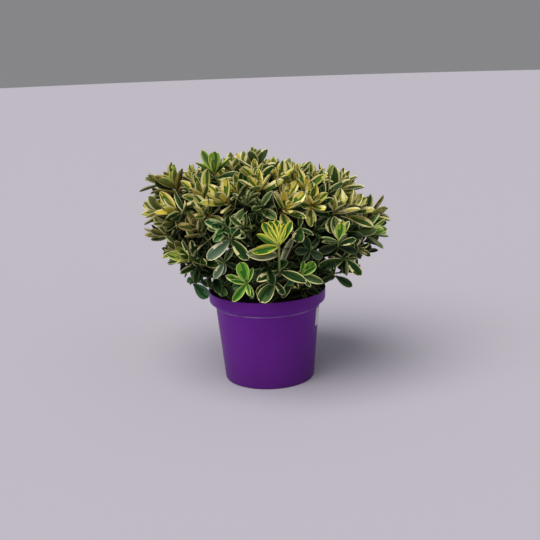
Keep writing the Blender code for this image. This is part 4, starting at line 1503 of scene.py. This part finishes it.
def leaf_tree():
    """Copies of the leaf forms on the leaf points, with a tissue for each look and zone."""
    tree, given = new_tree("hung_leaves", Forms=None, Size=1.0)
    rotation = add_node(tree, "FunctionNodeEulerToRotation", {0: named(tree, "turn", "FLOAT_VECTOR")})
    inputs = {0: named(tree, "size", "FLOAT_VECTOR"), "Scale": given["Size"]}
    scale = add_node(tree, "ShaderNodeVectorMath", inputs, operation="SCALE")
    form = named(tree, "form", "INT")
    leaves = real_copies(
        tree, given["Geometry"], given["Forms"], Instance_Index=form, Rotation=rotation, Scale=scale
    )
    inputs = {0: named(tree, "look", "INT"), 1: len(ZONES), 2: named(tree, "zone", "INT")}
    tissue = add_node(tree, "FunctionNodeIntegerMath", inputs, operation="MULTIPLY_ADD")
    for number, material in enumerate(leaf_tissues):
        inputs = {2: tissue, 3: number}
        is_this = add_node(tree, "FunctionNodeCompare", inputs, data_type="INT", operation="EQUAL")
        leaves = dressed(tree, leaves, material, Selection=is_this)
    add_node(tree, "NodeGroupOutput", {0: leaves})
    return tree


hung_leaves = leaf_tree()
leaf_faces = 0
for mass in masses:
    name = f"leaves_{mass.name}"
    leaves = leaves_by_mass[mass.name]
    piece = new_piece(name, [leaf.root for leaf in leaves], [])
    add_attribute(piece.data, "turn", "FLOAT_VECTOR", [x for leaf in leaves for x in leaf.turn])
    add_attribute(piece.data, "size", "FLOAT_VECTOR", [x for leaf in leaves for x in leaf.scale])
    add_attribute(piece.data, "form", "INT", [leaf.form for leaf in leaves])
    add_attribute(piece.data, "look", "INT", [leaf.look for leaf in leaves])
    grown(piece, hung_leaves, "look", "zone", "form", "turn", "size", Forms=leaf_forms)
    declare(piece, f"foliage_{mass.ring.name}", f"mass_{mass.name}")
    leaf_faces += len(piece.data.polygons)
print("leaf faces:", leaf_faces)

# %% [markdown]
# ## Trunk, limbs and twigs
# The old wood is brown and finely fissured, with a ring of scar at each place where a pair of
# leaves has fallen. Young shoots are smooth and green. A geometry tree sweeps a circle along
# every line, with its radius read from the line's points, and then roughens the old wood along
# its normals, so the relief is real and not only shading.

# %% Grow the wood
LIMB_STARTS_AT = 0.02
LIMB_RADII = (0.0029, 0.0021)
STEM_RADII = (0.0021, 0.0014)
TWIG_RADII = (0.0016, 0.0012)
STOUT = {"leader": 1.5, "fresh": 1.1}
NODE_SPACING = 0.009
NODE_HALF_WIDTH = 0.0016
NODE_SWELL = 0.18
POINT_SPACING = 0.003
FEWEST_STEPS = 4
FISSURES_MM = 2.2
GREEN_LENGTH = 0.055
KNOB_POLARS = range(130, 5, -8)
KNOB_TOP_RADIUS = 0.0005
LIMB_RELIEF, TWIG_RELIEF, TRUNK_RELIEF = 0.0009, 0.0003, 0.0022
LIMB_SIDES, TWIG_SIDES, TRUNK_SEGMENTS = 12, 7, 72
FLARE_RADIUS = 0.0205
FLARE_HEIGHT = 0.008
FLARE_STEPS = 6
FLARE_CURVE = 2.2
WAIST_RADIUS = 0.0125
ROOT_LOBES = 5
ROOT_LOBE_DEPTH = 0.14


def hebe_bark():
    """Thin bark: grey-brown, with dark fissures a few millimetres apart and paler flakes."""
    skin = Skin("hebe_bark", "#6B5A45", 0.85)
    flakes = skin.noise(5, 5.0)
    inputs = {"Vector": skin.places, "Scale": 1000 / FISSURES_MM}
    apart = add_node(skin.tree, "ShaderNodeTexVoronoi", inputs, feature="DISTANCE_TO_EDGE")
    fissures = skin.ramp(apart, 0.0, 0.12, 0.6, 0.0)
    colour = skin.blend(fissures, skin.blend(flakes, "#4A3C2C", "#8B7A60"), "#241B13")
    return skin.done(Base_Color=colour, Normal=skin.relief(flakes, 0.6, 0.0006))


def roughened(tree, geometry, given):
    """Moves each point along its normal by a noise of the given width and height."""
    scale = maths(tree, "DIVIDE", 1.0, given["Relief width"])
    bumps = add_node(tree, "ShaderNodeTexNoise", {"Scale": scale, "Detail": 2.0})
    amount = maths(tree, "MULTIPLY", maths(tree, "SUBTRACT", bumps, 0.5), given["Relief"])
    inputs = {0: add_node(tree, "GeometryNodeInputNormal"), "Scale": amount}
    offset = add_node(tree, "ShaderNodeVectorMath", inputs, operation="SCALE")
    return add_node(tree, "GeometryNodeSetPosition", {"Geometry": geometry, "Offset": offset})


def trunk_tree(bark):
    """Relief for the trunk, which is already a mesh."""
    tree, given = new_tree("roughened_wood", Relief=TRUNK_RELIEF, Relief_width=0.005)
    rough = roughened(tree, given["Geometry"], given)
    real = add_node(tree, "GeometryNodeRealizeInstances", {0: rough})
    add_node(tree, "NodeGroupOutput", {0: dressed(tree, real, bark)})
    return tree


def wood_tree(name, relief, sides, bark, green):
    """Sweeps a circle along lines, roughens it and gives old and young parts their skin."""
    tree, given = new_tree(name, Relief=relief, Relief_width=0.0035, Sides=sides)
    lines = add_node(tree, "GeometryNodeMeshToCurve", {0: given["Geometry"]})
    inputs = {"Resolution": given["Sides"], "Radius": 1.0}
    circle = add_node(tree, "GeometryNodeCurvePrimitiveCircle", inputs)
    radius = named(tree, "radius", "FLOAT")
    inputs = {"Curve": lines, "Profile Curve": circle, "Scale": radius, "Fill Caps": True}
    swept = add_node(tree, "GeometryNodeCurveToMesh", inputs)
    whole = add_node(tree, "GeometryNodeRealizeInstances", {0: swept})
    old = dressed(tree, roughened(tree, whole, given), bark)
    inputs = {0: named(tree, "young", "FLOAT"), 1: 0.5}
    is_young = add_node(tree, "FunctionNodeCompare", inputs, operation="GREATER_THAN")
    add_node(tree, "NodeGroupOutput", {0: dressed(tree, old, green, Selection=is_young)})
    return tree


def wood_lines(name, lines):
    """Lines as one mesh of edges. Each is points, its two end radii and whether it is young."""
    points, edges, radii, young = [], [], [], []
    for line, (thick, thin), green in lines:
        total = length_of(line)
        walked = 0.0
        for i, point in enumerate(line):
            if i:
                walked += (point - line[i - 1]).length
                edges.append((len(points) - 1, len(points)))
            to_tip = total - walked
            off_node = abs((to_tip % NODE_SPACING) / NODE_HALF_WIDTH - 1)
            ringed = 1 + NODE_SWELL * max(0.0, 1 - off_node)
            points.append(point)
            radii.append((thick + (thin - thick) * walked / total) * ringed)
            young.append(1.0 if green and to_tip < GREEN_LENGTH else 0.0)
    piece = new_piece(name, points, [], edges=edges)
    add_attribute(piece.data, "radius", "FLOAT", radii)
    add_attribute(piece.data, "young", "FLOAT", young)
    return piece


def evenly(curve, start, end):
    """A line along a curve with a point about every few millimetres."""
    length = length_of(line_along(curve, start, end, 8))
    return line_along(curve, start, end, max(FEWEST_STEPS, round(length / POINT_SPACING)))


def trunk_profile():
    """From the flat cut on the compost over the flare and waist to the top of the knob."""
    profile = [(0, TRUNK_GROUND)]
    for step in range(FLARE_STEPS + 1):
        share = step / FLARE_STEPS
        r = WAIST_RADIUS + (FLARE_RADIUS - WAIST_RADIUS) * (1 - share) ** FLARE_CURVE
        profile.append((r, TRUNK_GROUND + FLARE_HEIGHT * share))
    for polar in KNOB_POLARS:
        out = outward(90, polar) * KNOB_RADIUS
        profile.append((max(out.x, KNOB_TOP_RADIUS), KNOB.z + out.z))
    profile.append((0, KNOB.z + KNOB_RADIUS))
    return profile


def root_lobes(angle, height):
    """The flare swells into roots, most at the compost."""
    share = max(0.0, 1 - (height - TRUNK_GROUND) / FLARE_HEIGHT)
    return 1 + ROOT_LOBE_DEPTH * share * math.cos(ROOT_LOBES * angle)


bark = hebe_bark()
# A young shoot's skin is smooth and green, and a twig's bark is thin, even and brown. Both are
# plain colours, so that they stay where they are on so fine a piece.
green_skin = new_material("green_shoot_skin", "#6A7A38", 0.5)
twig_skin = new_material("brown_twig_skin", "#5A4A36", 0.8)
trunk = turned("trunk_bark", trunk_profile(), TRUNK_SEGMENTS, swell=root_lobes)
grown(trunk, trunk_tree(bark))
trunk.data.shade_smooth()
declare(trunk, "hebe_bark", "trunk")

limb_lines = []
for mass in masses:
    limb_lines.append((evenly(mass.curve, LIMB_STARTS_AT, STEM_STARTS_AT + 0.01), LIMB_RADII, False))
limb_tree = wood_tree("ringed_limbs", LIMB_RELIEF, LIMB_SIDES, bark, bark)
limbs = grown(wood_lines("limbs_bark", limb_lines), limb_tree, "radius", "young")
limbs.data.shade_smooth()
declare(limbs, "hebe_bark", *(f"limb_{mass.name}" for mass in masses))

twig_tree = wood_tree("ringed_twigs", TWIG_RELIEF, TWIG_SIDES, twig_skin, green_skin)
# Each mass's first shoot is its stem.
stems = {shoot.mass.name: shoot for shoot in reversed(shoots)}.values()
wood_faces = len(trunk.data.polygons) + len(limbs.data.polygons)
for ring in RINGS:
    lines = []
    for shoot in shoots:
        if shoot.mass.ring is ring:
            radii = STEM_RADII if shoot in stems else TWIG_RADII
            radii = [r * STOUT.get(shoot.look, 1.0) for r in radii]
            lines.append((evenly(shoot.curve(), 0.0, 1.0), radii, True))
    twigs = grown(wood_lines(f"twigs_{ring.name}", lines), twig_tree, "radius", "young")
    twigs.data.shade_smooth()
    declare(twigs, "hebe_bark", *(f"mass_{mass.name}" for mass in masses if mass.ring is ring))
    wood_faces += len(twigs.data.polygons)
print("wood faces:", wood_faces)

# %% Bring the scene up to date
bpy.context.view_layer.update()
